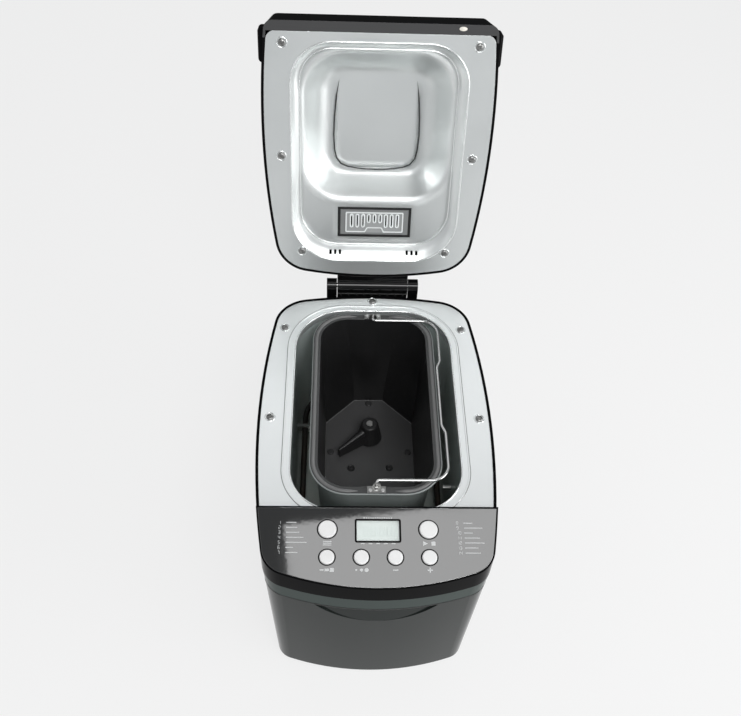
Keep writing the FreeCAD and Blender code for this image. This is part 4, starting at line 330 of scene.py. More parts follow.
# Tints that aren't set in the sidebar
DUST = (0.16, 0.16, 0.155)
RIM_GREY = (0.062, 0.062, 0.063)
HEAT_STAIN = (0.20, 0.165, 0.12)
FLOOR_PAINTED_LIGHT = (0.075, 0.075, 0.076)
COAT_SPECK = (0.13, 0.13, 0.13)
COAT_HIGHLIGHT = (0.14, 0.14, 0.14)
RIM_HIGHLIGHT = (0.16, 0.165, 0.165)
COAT_OUTSIDE = (0.30, 0.325, 0.32)
SHADOW_LINE_BLACK = (0.02, 0.021, 0.021)
ALUMINIUM = (0.62, 0.62, 0.61)
BRONZE = (0.46, 0.31, 0.15)
RUBBER = (0.014, 0.014, 0.014)
LACQUER, TRACKS = (0.015, 0.085, 0.035), (0.05, 0.17, 0.07)
CERAMIC, CERAMIC_SPECK = (0.74, 0.71, 0.64), (0.38, 0.33, 0.27)
FIRED_OXIDE = (0.11, 0.085, 0.07)
LENS_DULL, LENS_CLEAR = (0.85, 0.88, 0.86), (0.92, 0.94, 0.93)


def gloss_plastic(name, tint, gloss, sheen, index=1.5, below=None, strip=None):
    """Polished moulding: faint orange peel, handling smears and a little dust.

    below is the grey under BAND_EDGE, a painted reflection on the same black moulding,
    and strip the grey tint of the lid's front rim."""
    finish = Finish(name)
    ground = tint
    if below:
        ground = finish.mix(finish.height().step(BAND_EDGE - HAIR, BAND_EDGE + HAIR), below, tint)
    if strip:
        rim = finish.along(COVER_OUT).step(LID_RIM - THREAD, LID_RIM)
        ground = finish.mix(rim * finish.height().step(LID_STRIP, LID_STRIP + STRAND), tint, strip)
    smear = finish.noise(24.0, detail=3.0)
    dust = finish.specks(900.0, 0.10) * finish.noise(70.0).step(0.5, 0.75) * 0.35
    peel = finish.noise(190.0, detail=1.0)
    finish.surface(
        Base_Color=finish.mix(dust, ground, DUST),
        Roughness=gloss + smear * 0.05,
        Specular_IOR_Level=sheen,
        IOR=index,
        Normal=finish.bump(peel, 0.02, distance=0.0004, edge=EDGE),
    )


def matt_plastic(name, tint):
    """Moulding with a fine spark-eroded grain."""
    finish = Finish(name)
    grain = finish.noise(2300.0)
    cloud = finish.noise(38.0, detail=3.0)
    finish.surface(
        Base_Color=finish.mix(cloud, shade(tint, 0.85), shade(tint, 1.2)),
        Roughness=0.36 + cloud * 0.16,
        Normal=finish.bump(grain, 0.22, edge=EDGE),
    )


def satin_sheet(name, tint, rough, metal=1.0, drawn=False):
    """Rolled sheet with a soft lengthwise grain and cloudy patches.

    A drawn sheet has wide bends below its rim."""
    finish = Finish(name)
    edge = EDGE
    if drawn:
        sunk = 1 - finish.along(COVER_OUT).step(LINER_RIM - BENT_DEPTH, LINER_RIM - FLAT_DEPTH)
        edge = EDGE + sunk * DRAWN_BEND
    grain = finish.noise(900.0, stretch=(0.04, 1.0, 1.0))
    cloud = finish.noise(14.0, detail=3.0)
    finish.surface(
        Base_Color=finish.mix(cloud, shade(tint, 0.95), shade(tint, 1.04)),
        Metallic=metal,
        Roughness=rough + grain * 0.07 + cloud * 0.05,
        Normal=finish.bump(grain, 0.04, edge=edge),
    )


def oven_sheet(name, tint):
    """Aluminised oven wall with an upright grain, tinted by heat low down."""
    finish = Finish(name)
    cloud = finish.noise(30.0, detail=4.0)
    heat = (1 - finish.height().step(HEAT_FADES, HEAT_ENDS)) * (0.15 + cloud * 0.25)
    grain = finish.noise(900.0, stretch=(1.0, 1.0, 0.05))
    finish.surface(
        Base_Color=finish.mix(heat, tint, HEAT_STAIN),
        Metallic=0.25,
        Roughness=0.24 + grain * 0.1 + cloud * 0.04,
        Normal=finish.bump(grain, 0.03),
    )


def nonstick_coat(name, tint, floor=0.0, rim=0.0, outside=0.0):
    """Sprayed coating with fine pale specks and a low bumpy sheen.

    floor, rim and outside say how much paler it is on the pan's floor, its rim and its outside;
    the paler floor is painted light and the paler top of the rim a painted highlight."""
    finish = Finish(name)
    speck = finish.specks(620.0, 0.16) * 0.5
    orange = finish.noise(760.0)
    cloud = finish.noise(34.0, detail=3.0)
    # Painted light: the floor under FLOOR_EDGE_HEIGHT is made paler, as if lit from above.
    flat = (1 - finish.height().step(FLOOR_EDGE_HEIGHT, FLOOR_EDGE_HEIGHT + WASH)) * floor
    clouded = finish.mix(cloud, shade(tint, 0.85), shade(tint, 1.2))
    speckled = finish.mix(speck, finish.mix(flat, clouded, FLOOR_PAINTED_LIGHT), COAT_SPECK)
    # Painted highlight: worn makes a thin band along the top of the rim paler.
    worn = finish.height().step(PAN_RIM - RIM_HIGHLIGHT_START, PAN_RIM - RIM_HIGHLIGHT_FULL) * rim
    sprayed = finish.mix(worn, speckled, RIM_HIGHLIGHT)
    finish.surface(
        Base_Color=finish.mix(finish.outwards() * outside, sprayed, COAT_OUTSIDE),
        Roughness=0.27 + cloud * 0.10 + orange * 0.06,
        Specular_IOR_Level=0.4,
        Normal=finish.bump(orange, 0.10, edge=EDGE),
    )


def coated_rivets(name, coat, metal):
    """Rivets that are coated with the pan's floor and bright at its rim."""
    finish = Finish(name)
    bare = finish.height().step(PAN_RIM - COATED_DEPTH, PAN_RIM - BARE_DEPTH)
    cloud = finish.noise(90.0, detail=3.0)
    finish.surface(
        Base_Color=finish.mix(bare, shade(coat, 1.6), metal),
        Metallic=bare,
        Roughness=0.28 + cloud * 0.14,
        Normal=finish.bump(finish.noise(900.0), 0.08),
    )


def cover_plastic(name, tint):
    """The vent's cover: grey inside its raised pale line and darker outside it."""
    finish = Finish(name)
    up = LID_TURN @ Vector((0, 1, 0))
    across = abs(finish.along((1, 0, 0))).step(COVER_LINE_WIDE, COVER_LINE_WIDE + THREAD)
    reach = abs(finish.along(up) - COVER_MIDDLE.dot(up)).step(COVER_LINE_DEEP, COVER_LINE_DEEP + THREAD)
    raised = finish.along(COVER_OUT).step(COVER_FACE + THREAD, COVER_FACE + STRAND)
    grain = finish.noise(2300.0)
    ground = finish.mix(across.larger(reach), tint, shade(tint, 0.62))
    finish.surface(
        Base_Color=finish.mix(raised, ground, shade(tint, 2.4)),
        Roughness=0.36 + grain * 0.14,
        Normal=finish.bump(grain, 0.2, edge=EDGE / 2),
    )


def turned_metal(name, tint, rough, lines):
    """Bare metal with fine tool lines."""
    finish = Finish(name)
    line = finish.noise(lines, stretch=(1.0, 1.0, 0.06))
    cloud = finish.noise(60.0, detail=3.0)
    finish.surface(
        Base_Color=finish.mix(cloud, shade(tint, 0.88), shade(tint, 1.06)),
        Metallic=1.0,
        Roughness=rough + line * 0.10 + cloud * 0.06,
        Normal=finish.bump(line, 0.05, distance=0.0001),
    )


def cast_metal(name, tint, pores):
    """Cast or sintered metal with a grainy skin."""
    finish = Finish(name)
    grain = finish.noise(820.0, detail=4.0)
    pit = finish.specks(700.0, 0.2)
    finish.surface(
        Base_Color=finish.mix(pit * pores, tint, shade(tint, 0.35)),
        Metallic=1.0,
        Roughness=0.38 + grain * 0.2,
        Normal=finish.bump(grain - pit * pores, 0.3, distance=0.0003),
    )


def soft_rubber(name, tint):
    """Dull rubber with a pale bloom."""
    finish = Finish(name)
    grain = finish.noise(1500.0, detail=3.0)
    bloom = finish.noise(50.0, detail=3.0)
    finish.surface(
        Base_Color=finish.mix(bloom, tint, shade(tint, 1.8)),
        Roughness=0.68 + bloom * 0.18,
        Normal=finish.bump(grain, 0.25),
    )


def circuit_board(name):
    """Green lacquer over copper tracks."""
    finish = Finish(name)
    pattern = {"Vector": finish.place, "Scale": 160.0, "Mortar Size": 0.03}
    tracks = finish.node("ShaderNodeTexBrick", {}, pattern, 1)
    finish.surface(
        Base_Color=finish.mix(tracks, LACQUER, TRACKS),
        Roughness=0.3 + finish.noise(90.0) * 0.15,
        Normal=finish.bump(tracks, 0.3, distance=0.0001),
    )


def fired_ceramic(name):
    """Pale ceramic with brown specks."""
    finish = Finish(name)
    speck = finish.specks(800.0, 0.14) * 0.4
    finish.surface(
        Base_Color=finish.mix(speck, CERAMIC, CERAMIC_SPECK),
        Roughness=0.45 + finish.noise(70.0) * 0.2,
        Normal=finish.bump(finish.noise(900.0), 0.12),
    )


def heater_sheath(name, tint):
    """Tube sheath, darkened by firing in uneven bands."""
    finish = Finish(name)
    band = finish.noise(22.0, detail=4.0)
    finish.surface(
        Base_Color=finish.mix(band.step(0.35, 0.65), shade(tint, 0.16), FIRED_OXIDE),
        Metallic=0.8,
        Roughness=0.36 + band * 0.25,
        Normal=finish.bump(finish.noise(700.0), 0.12),
    )


def display_lens(name):
    """Clear moulded window, nearly see-through, with faint wiping marks."""
    finish = Finish(name)
    wipe = finish.noise(70.0, detail=3.0, stretch=(0.2, 1.0, 1.0))
    finish.surface(
        Base_Color=finish.mix(wipe, LENS_DULL, LENS_CLEAR),
        Roughness=0.03 + wipe * 0.05,
        Alpha=0.10 + wipe * 0.03,
    )


def display_face(name, tint):
    """Reflective back of the display under its lens, with a very fine dot grid."""
    finish = Finish(name)
    grid = {"Scale": 1500.0, "Mortar Size": 0.05, "Brick Width": 1.0, "Row Height": 1.0}
    dots = finish.node("ShaderNodeTexBrick", {"offset": 0.0}, {"Vector": finish.place, **grid}, 1)
    finish.surface(
        Base_Color=finish.mix(dots, tint, shade(tint, 0.9)), Roughness=0.35 + finish.noise(40.0) * 0.1
    )


def satin_button(name, tint):
    """Metallised button face with a spun sheen."""
    finish = Finish(name)
    spin = finish.noise(700.0, stretch=(1.0, 0.08, 1.0))
    cloud = finish.noise(110.0)
    finish.surface(
        Base_Color=finish.mix(cloud, shade(tint, 0.9), tint),
        Roughness=0.26 + spin * 0.14,
        Normal=finish.bump(spin, 0.12, distance=0.0001, edge=EDGE),
    )


def printed_ink(name, tint):
    """Flat ink, a little worn."""
    finish = Finish(name)
    wear = finish.noise(420.0, detail=3.0)
    finish.surface(Base_Color=finish.mix(wear, shade(tint, 0.9), tint), Roughness=0.45 + wear * 0.15)


def make_finishes(tint):
    """All finishes, kept by the name of the slot or piece that they are for."""
    black = tint.gloss_black
    gloss_plastic("gloss_black", black, gloss=0.04, sheen=0.06)
    # The grey foot of the upper frame under BAND_EDGE is a painted reflection on the black gloss.
    gloss_plastic("gloss_band", black, gloss=0.04, sheen=0.05, index=1.25, below=shade(tint.body_grey, 4.0))
    gloss_plastic("lid_black", black, gloss=0.04, sheen=0.06, strip=RIM_GREY)
    gloss_plastic("hinge_black", black, gloss=0.06, sheen=0.3)
    gloss_plastic("body_grey", tint.body_grey, gloss=0.10, sheen=0.10, index=1.45)
    gloss_plastic("panel_grey", tint.panel_grey, gloss=0.02, sheen=1.0, index=2.0)
    matt_plastic("black_plastic", tint.black_plastic)
    # A near-black used as painted shade along the liner's crease.
    matt_plastic("crease", SHADOW_LINE_BLACK)
    matt_plastic("vent_rim", shade(tint.vent_grey, 2.6))
    cover_plastic("vent_cover", tint.vent_grey)
    satin_sheet("bead_sheet", shade(tint.silver_sheet, 1.22), rough=0.16)
    satin_sheet("silver_sheet", tint.silver_sheet, rough=0.28, metal=0.9, drawn=True)
    satin_sheet("deck_sheet", tint.deck_sheet, rough=0.24, metal=0.8)
    oven_sheet("chamber_sheet", tint.chamber_sheet)
    nonstick_coat("nonstick", tint.nonstick)
    # A paler coat, painted as a highlight on the floor's back edge and on the rolled rim.
    nonstick_coat("worn_coat", COAT_HIGHLIGHT)
    # The pan's floor and the top of its rim are made paler as painted light.
    nonstick_coat("pan_coat", shade(tint.nonstick, 0.7), floor=0.9, rim=0.2, outside=0.8)
    coated_rivets("rivets", tint.nonstick, tint.bright_steel)
    turned_metal("screw_steel", shade(tint.steel, 0.55), rough=0.24, lines=1300.0)
    turned_metal("steel", tint.steel, rough=0.28, lines=700.0)
    turned_metal("bright_steel", tint.bright_steel, rough=0.08, lines=1300.0)
    cast_metal("cast_aluminium", ALUMINIUM, pores=0.2)
    cast_metal("bronze", BRONZE, pores=0.7)
    soft_rubber("rubber", RUBBER)
    circuit_board("board")
    fired_ceramic("ceramic")
    heater_sheath("heater_sheath", tint.steel)
    display_lens("display")
    display_face("display_face", tint.display)
    satin_button("button_grey", tint.buttons)
    printed_ink("ink", tint.ink)
    printed_ink("display_ink", shade(tint.display, 0.86))


# Mesh helpers

JOIN_GAP = 1e-6
TUBE_SIDES = 8
TUBE_CREASE = 60.0


def linked(name, data):
    """A new object at the origin of the scene."""
    made = bpy.data.objects.new(name, data)
    bpy.context.scene.collection.objects.link(made)
    return made


def new_piece(name, mesh, finish, body):
    """A finished piece at the origin that rides on a body."""
    piece = linked(name, mesh)
    mesh.materials.clear()
    mesh.materials.append(FINISHES[finish])
    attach(piece, body)
    return piece


def joined_copy(node):
    """A copy of a CAD node's mesh with its loose triangles joined."""
    made = bmesh.new()
    made.from_mesh(frame["nodes"][node].data)
    bmesh.ops.remove_doubles(made, verts=made.verts, dist=JOIN_GAP)
    return made


def solids_of(node):
    """The points of each separate solid of a CAD node."""
    joined = joined_copy(node)
    joined.verts.ensure_lookup_table()
    seen = set()
    solids = []
    for start in joined.verts:
        if start.index in seen:
            continue
        seen.add(start.index)
        waiting = [start]
        points = []
        while waiting:
            vertex = waiting.pop()
            points.append(vertex.co.copy())
            for edge in vertex.link_edges:
                other = edge.other_vert(vertex)
                if other.index not in seen:
                    seen.add(other.index)
                    waiting.append(other)
        solids.append(points)
    joined.free()
    return solids


def join_rings(made, rings):
    """Faces between each ring of points and the next, with single points as tips."""
    for first, second in zip(rings, rings[1:]):
        count = max(len(first), len(second))
        for step in range(count):
            after = (step + 1) % count
            if len(first) == 1:
                corners = [first[0], second[step], second[after]]
            elif len(second) == 1:
                corners = [first[step], second[0], first[after]]
            else:
                corners = [first[step], second[step], second[after], first[after]]
            made.faces.new(corners)
    bmesh.ops.recalc_face_normals(made, faces=made.faces)


def lathe(profile, steps):
    """A closed solid turned about Z from (radius, height) points that start and end on the axis."""
    made = bmesh.new()
    rings = []
    for radius, height in profile:
        ring = disc_outline(0, 0, radius, steps) if radius else [(0, 0)]
        rings.append([made.verts.new((x, y, height)) for x, y in ring])
    join_rings(made, rings)
    return made


def tube_ring(made, point, ahead, wire, sides):
    """Points round a flat path in XY that runs along ahead."""
    side = Vector((ahead.y, -ahead.x, 0)).normalized()
    spots = disc_outline(0, 0, wire, sides)
    return [made.verts.new(point + side * across + UP * rise) for across, rise in spots]


def ring_tube(path, wire, sides=TUBE_SIDES):
    """A closed tube round a flat closed path."""
    made = bmesh.new()
    rings = []
    for index, point in enumerate(path):
        ahead = path[(index + 1) % len(path)] - path[index - 1]
        rings.append(tube_ring(made, point, ahead, wire, sides))
    join_rings(made, rings + rings[:1])
    return made


def open_tube(path, wire, sides=TUBE_SIDES):
    """A tube along a flat open path, drawn out to a point at both ends."""
    made = bmesh.new()
    rings = [[made.verts.new(path[0])]]
    for before, point, after in zip(path, path[1:], path[2:]):
        rings.append(tube_ring(made, point, after - before, wire, sides))
    rings.append([made.verts.new(path[-1])])
    join_rings(made, rings)
    return made


def slab(made, outline, low, high):
    """Adds a flat prism between two heights to a mesh in the making."""
    bottom = [made.verts.new((x, y, low)) for x, y in outline]
    top = [made.verts.new((x, y, high)) for x, y in outline]
    faces = [made.faces.new(bottom), made.faces.new(top)]
    for index in range(len(outline)):
        faces.append(made.faces.new([bottom[index - 1], bottom[index], top[index], top[index - 1]]))
    bmesh.ops.recalc_face_normals(made, faces=faces)


def box_outline(x, y, width, depth):
    w, d = width / 2, depth / 2
    return [(x - w, y - d), (x + w, y - d), (x + w, y + d), (x - w, y + d)]


def uneven_outline(half, front, back, front_corner, back_corner, steps=10):
    """A rectangle whose front and back corners are rounded differently."""
    points = []
    corners = (
        (half - back_corner, back - back_corner, back_corner),
        (back_corner - half, back - back_corner, back_corner),
        (front_corner - half, front + front_corner, front_corner),
        (half - front_corner, front + front_corner, front_corner),
    )
    for turn, (x, y, corner) in enumerate(corners):
        for step in range(steps + 1):
            angle = math.pi / 2 * (turn + step / steps)
            points.append((x + corner * math.cos(angle), y + corner * math.sin(angle)))
    return points


def round_outline(y, width, depth, corner, steps=5):
    """A rectangle with round corners, with its middle at y."""
    return uneven_outline(width / 2, y - depth / 2, y + depth / 2, corner, corner, steps)


def disc_outline(x, y, radius, steps=20):
    turns = [2 * math.pi * step / steps for step in range(steps)]
    return [(x + radius * math.cos(a), y + radius * math.sin(a)) for a in turns]


def laid(outline, height=0.0, shift=0.0):
    """The points of an outline at a height, shifted along Y."""
    return [Vector((x, y + shift, height)) for x, y in outline]


def mesh_from(made, name, matrix=None):
    """A plain mesh from a mesh in the making, which is used up."""
    if matrix:
        made.transform(matrix)
    mesh = bpy.data.meshes.new(name)
    made.to_mesh(mesh)
    made.free()
    return mesh


def smooth(mesh, angle=40.0):
    mesh.shade_smooth()
    mesh.set_sharp_from_angle(angle=math.radians(angle))
    return mesh


def round_piece(name, made, finish, body, matrix=None):
    """A finished piece with the soft shading of a tube, from a mesh in the making."""
    mesh = smooth(mesh_from(made, name, matrix), TUBE_CREASE)
    return new_piece(name, mesh, finish, body)


def evaluated(host, helper):
    """The plain mesh that an object's modifier gives. The object and its helper are removed."""
    graph = bpy.context.evaluated_depsgraph_get()
    mesh = bpy.data.meshes.new_from_object(host.evaluated_get(graph))
    bpy.data.objects.remove(host)
    bpy.data.objects.remove(helper)
    return mesh


def carved(mesh, cutter):
    """The mesh with the cutter's solid taken out."""
    host = linked("host", mesh)
    tool = linked("tool", cutter)
    cut = host.modifiers.new("cut", "BOOLEAN")
    cut.operation = "DIFFERENCE"
    cut.solver = "EXACT"
    cut.object = tool
    return evaluated(host, tool)


class Scatter(Web):
    """Geometry Nodes: a shape set on every point of a mesh and made real."""

    seed = 7
    kinds = {
        "Points": "NodeSocketGeometry",
        "Shape": "NodeSocketObject",
        "Finish": "NodeSocketMaterial",
        "Turn": "NodeSocketFloat",
    }

    def __init__(self):
        super().__init__(bpy.data.node_groups.new("scatter", "GeometryNodeTree"))
        face = self.tree.interface
        self.keys = {}
        for label, kind in self.kinds.items():
            self.keys[label] = face.new_socket(label, in_out="INPUT", socket_type=kind).identifier
        face.new_socket("Geometry", in_out="OUTPUT", socket_type="NodeSocketGeometry")
        given = self.tree.nodes.new("NodeGroupInput").outputs
        points, shape, finish, turn = [Signal(self, given[label]) for label in self.kinds]
        solid = self.node("GeometryNodeObjectInfo", {}, {"Object": shape}, "Geometry")
        most = self.node("ShaderNodeCombineXYZ", {}, {"Z": turn})
        limits = {"Max": most, "Seed": self.seed}
        turned = self.node("FunctionNodeRandomValue", {"data_type": "FLOAT_VECTOR"}, limits)
        spots = {"Points": points, "Instance": solid, "Rotation": turned}
        placed = self.node("GeometryNodeInstanceOnPoints", {}, spots)
        real = self.node("GeometryNodeRealizeInstances", {}, {"Geometry": placed})
        dressed = self.node("GeometryNodeSetMaterial", {}, {"Geometry": real, "Material": finish})
        self.feed(self.tree.nodes.new("NodeGroupOutput").inputs[0], dressed)

    def spread(self, name, points, shape, finish, turn=0.0):
        """A plain mesh of the shape on each of the points."""
        dots = bpy.data.meshes.new(name)
        dots.from_pydata(points, [], [])
        host = linked(name, dots)
        pattern = linked(name + "_shape", shape)
        step = host.modifiers.new("scatter", "NODES")
        step.node_group = self.tree
        step[self.keys["Shape"]] = pattern
        step[self.keys["Finish"]] = FINISHES[finish]
        step[self.keys["Turn"]] = turn
        return evaluated(host, pattern)


# Finishes of the CAD pieces, where they differ from their slot

OWN_FINISH = {
    "heating_element": "heater_sheath",
    "lcd_module": "display_face",
    "upper_frame": "gloss_band",
    "lid_shell": "lid_black",
    "hinge_bracket": "hinge_black",
    "hinge_block": "hinge_black",
    "bread_pan": "pan_coat",
    "pan_rivets": "rivets",
    "vent_cover": "vent_cover",
    "deck_plate": "deck_sheet",
    "pan_ears": "screw_steel",
}


class BREAD_OT_finish_cad(bpy.types.Operator):
    """Make the procedural finishes and give every CAD piece its own"""

    bl_idname = "bread.finish_cad"
    bl_label = "Finish CAD pieces"

    def execute(self, context):
        make_finishes(context.scene.bread_colours)
        for name, node in frame["nodes"].items():
            for slot in node.material_slots:
                slot.link = "OBJECT"
                slot.material = FINISHES[OWN_FINISH.get(name, SLOT_OF[name])]
        return {"FINISHED"}


# Screws

# Radii of the head, the shank and the seat, heights of the head, the whole screw and its point
SCREW_HEAD, SCREW_SHANK, SCREW_SEAT = 0.0038, 0.0017, 0.0050
SCREW_HEIGHT, SCREW_LENGTH, SCREW_POINT = 0.0018, 0.0108, 0.0010
# Share of the head's radius, and the drop below its top
SCREW_DOME = ((0.35, 0.00004), (0.65, 0.00022), (0.88, 0.00062), (1.0, 0.0012))
CROSS_SPAN = SCREW_HEAD * 1.15
CROSS_DEPTH, CROSS_CLEAR = 0.0011, 0.0010
SEAT_WIRE = 0.0006
SCREW_STEPS = 28
DOWN = Matrix.Rotation(math.pi, 4, "X")
# CAD node, body, turn from heads up to the way they face, and whether a raised seat shows round them
SCREW_SETS = (
    ("deck_screws", "housing", Matrix(), True),
    ("base_screws", "housing", DOWN, False),
    ("lid_screws", "lid", LID_TURN @ DOWN, True),
)


class BREAD_OT_screws(bpy.types.Operator):
    """Put domed cross-slot screws in the place of the plain CAD ones"""

    bl_idname = "bread.screws"
    bl_label = "Screws"

    def execute(self, context):
        shape = cross_screw(context.scene.bread_sizes.screw_slot)
        circle = laid(disc_outline(0, 0, SCREW_SEAT, SCREW_STEPS))
        seat = mesh_from(ring_tube(circle, SEAT_WIRE), "seat")
        scatter = Scatter()
        for node, body, facing_out, seated in SCREW_SETS:
            tops = [screw_top(points, facing_out) for points in solids_of(node)]
            mesh = scatter.spread(node + "_crossed", tops, shape, "screw_steel", math.pi / 2)
            mesh.transform(facing_out)
            piece = new_piece(node + "_crossed", smooth(mesh), "screw_steel", body)
            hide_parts(node)
            if seated:
                seats = [(x, y, z - SCREW_HEIGHT) for x, y, z in tops]
                mesh = scatter.spread(node + "_seats", seats, seat, "bead_sheet")
                mesh.transform(facing_out)
                new_piece(node + "_seats", smooth(mesh, TUBE_CREASE), "bead_sheet", body)
        return {"FINISHED"}


def cross_screw(slot):
    """A screw hanging from the top of its head at the origin."""
    profile = [
        (0, 0),
        *((SCREW_HEAD * share, -drop) for share, drop in SCREW_DOME),
        (SCREW_HEAD, -SCREW_HEIGHT),
        (SCREW_SHANK, -SCREW_HEIGHT),
        (SCREW_SHANK, SCREW_POINT - SCREW_LENGTH),
        (0, -SCREW_LENGTH),
    ]
    head = mesh_from(lathe(profile, SCREW_STEPS), "screw")
    for width, depth in ((slot, CROSS_SPAN), (CROSS_SPAN, slot)):
        cross = bmesh.new()
        slab(cross, box_outline(0, 0, width, depth), -CROSS_DEPTH, CROSS_CLEAR)
        head = carved(head, mesh_from(cross, "cross"))
    return head


def screw_top(points, facing_out):
    """Middle of a CAD screw's head, seen with its head up."""
    local = [facing_out.inverted() @ point for point in points]
    low = [min(point[axis] for point in local) for axis in range(3)]
    high = [max(point[axis] for point in local) for axis in range(3)]
    return ((low[0] + high[0]) / 2, (low[1] + high[1]) / 2, high[2])


# Vent

# Width and pitch of the cover's slots, where they start, and the lengths and places of each kind
COVER_SLOT, COVER_PITCH, COVER_SLOT_START = 0.0028, 0.0063, 0.00695
COVER_SLOTS = ((0.0125, (-4, -3, -2, 2, 3, 4)), (0.007, (-1, 0, 1)))
SLOT_STEPS = 6
SLOT_END_FLAT = 0.00001
SLOT_ROUND = COVER_SLOT / 2 - SLOT_END_FLAT


class BREAD_OT_vent_rims(bpy.types.Operator):
    """Raise pale rims round the oval slots of the vent's cover"""

    bl_idname = "bread.vent_rims"
    bl_label = "Vent rims"

    def execute(self, context):
        wire = context.scene.bread_sizes.rim_wire
        shut = OPENED.inverted()
        corners = [shut @ vertex.co for vertex in frame["nodes"]["vent_cover"].data.vertices]
        face = min(point.z for point in corners) + COVER_LINE_RISE
        front = min(point.y for point in corners)
        scatter = Scatter()
        whole = bmesh.new()
        for long, places in COVER_SLOTS:
            outline = round_outline(0, COVER_SLOT, long + COVER_SLOT, SLOT_ROUND, SLOT_STEPS)
            rim = mesh_from(ring_tube(laid(outline), wire), "rim")
            middle = front + COVER_SLOT_START + long / 2
            spots = [(place * COVER_PITCH, middle, face) for place in places]
            whole.from_mesh(scatter.spread("vent_rims", spots, rim, "vent_rim"))
        round_piece("vent_rims", whole, "vent_rim", "vent_cover", OPENED)
        return {"FINISHED"}


# Lid liner

# Half width, front, back, front and back corners and height of each bead, with the lid shut
LINER_BEADS = (
    (0.0900, -0.0805, 0.1592, 0.042, 0.050, 0.2189),
    (0.0810, -0.0715, 0.1432, 0.033, 0.041, 0.2289),
)
BEAD_WIRE = 0.0008
CREASE_HEIGHT, CREASE_WIRE = 0.2539, 0.0008
# Left half of the dark line painted as shade along the liner's crease, from its front end to its middle
CREASE_LEFT = (
    (-0.0405, -0.034),
    (-0.0432, -0.016),
    (-0.0452, 0.006),
    (-0.0458, 0.026),
    (-0.0448, 0.042),
    (-0.0425, 0.0520),
    (-0.0375, 0.0585),
    (-0.0300, 0.0618),
    (-0.0200, 0.0634),
    (-0.0100, 0.0643),
)
CREASE_MIDDLE = (0.0, 0.0646)


def both_sides(left, middle):
    """A line that runs along its left half, over its middle and back along the mirrored half."""
    return (*left, middle, *((-x, y) for x, y in reversed(left)))


class BREAD_OT_liner_lines(bpy.types.Operator):
    """Press two bead lines into the lid's liner and lay a dark line along its crease as painted shade"""

    bl_idname = "bread.liner_lines"
    bl_label = "Liner lines"

    def execute(self, context):
        whole = bmesh.new()
        for *bead, height in LINER_BEADS:
            path = laid(uneven_outline(*bead), height, MIDDLE_Y)
            whole.from_mesh(mesh_from(ring_tube(path, BEAD_WIRE), "bead"))
        round_piece("liner_beads", whole, "bead_sheet", "lid", OPENED)
        path = laid(both_sides(CREASE_LEFT, CREASE_MIDDLE), CREASE_HEIGHT, MIDDLE_Y)
        round_piece("liner_crease", open_tube(path, CREASE_WIRE), "crease", "lid", OPENED)
        return {"FINISHED"}


# Seam

SEAM_DROP = 0.0008
SEAM_STEP = math.radians(1.2)
# A point nearer than this share of the one before it lies on the wall's inside
INSIDE_SHARE = 0.985
# Corners of the section of the dark strip painted as the seam's shadow: reach out of the wall, and rise
SEAM_SHADOW_SECTION = ((0.00025, -0.0006), (0.00025, 0.0008), (-0.0004, 0.0008), (-0.0004, -0.0006))


class BREAD_OT_seam(bpy.types.Operator):
    """Lay a thin dark strip in the seam between the housing and the upper frame as a painted shadow"""

    bl_idname = "bread.seam"
    bl_label = "Seam"

    def execute(self, context):
        loop = outer_loop("lower_housing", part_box("lower_housing")[1].z - SEAM_DROP)
        made = bmesh.new()
        rings = []
        for point in loop:
            out = (point - MIDDLE).xy.normalized().to_3d()
            place = Vector((point.x, point.y, loop[0].z))
            rings.append([made.verts.new(place + out * reach + UP * rise) for reach, rise in SEAM_SHADOW_SECTION])
        join_rings(made, rings + rings[:1])
        # The strip's dark rubber finish stands in for the shadow in the seam.
        new_piece("seam_gasket", mesh_from(made, "seam_gasket"), "rubber", "housing")
        return {"FINISHED"}


def outer_loop(node, height):
    """Points in order round the outside of a CAD node at a height."""
    cut = joined_copy(node)
    everything = cut.verts[:] + cut.edges[:] + cut.faces[:]
    found = bmesh.ops.bisect_plane(cut, geom=everything, plane_co=UP * height, plane_no=UP)
    spokes = {}
    for item in found["geom_cut"]:
        if not isinstance(item, bmesh.types.BMVert):
            continue
        arm = item.co.xy - MIDDLE.xy
        key = round(math.atan2(arm.y, arm.x) / SEAM_STEP)
        if key not in spokes or arm.length > spokes[key][0]:
            spokes[key] = (arm.length, item.co.copy())
    cut.free()
    reach = [spokes[key] for key in sorted(spokes)]
    return [
        point for (before, _), (far, point) in zip(reach[-1:] + reach, reach) if far > INSIDE_SHARE * before
    ]


# Panel print

INK_HEIGHT = 0.00008
LIST_LINES = 7
LIST_X = (-0.0905, 0.0735)
LIST_TOP = -0.0145
LIST_BARS = tuple(value / 1000 for value in (9, 10, 12, 16, 19, 7, 11, 8, 17, 8, 14, 18, 12, 14))
LIST_BAR_START, LIST_STROKE = 0.0062, 0.0007
# Width, pitch and stroke of a printed figure, as shares of its height
FIGURE_WIDTH, FIGURE_PITCH, FIGURE_STROKE = 0.55, 0.8, 0.13
# What a figure's bars leave free at their ends, as a share of their stroke
BAR_GAP = 1.15
# Bars of each figure: top, upper right, lower right, bottom, lower left, upper left, middle
SEGMENTS = (
    (1, 1, 1, 1, 1, 1, 0),
    (0, 1, 1, 0, 0, 0, 0),
    (1, 1, 0, 1, 1, 0, 1),
    (1, 1, 1, 1, 0, 0, 1),
    (0, 1, 1, 0, 0, 1, 1),
    (1, 0, 1, 1, 0, 1, 1),
    (1, 0, 1, 1, 1, 1, 1),
    (1, 1, 1, 0, 0, 0, 0),
    (1, 1, 1, 1, 1, 1, 1),
    (1, 1, 1, 1, 0, 1, 1),
)

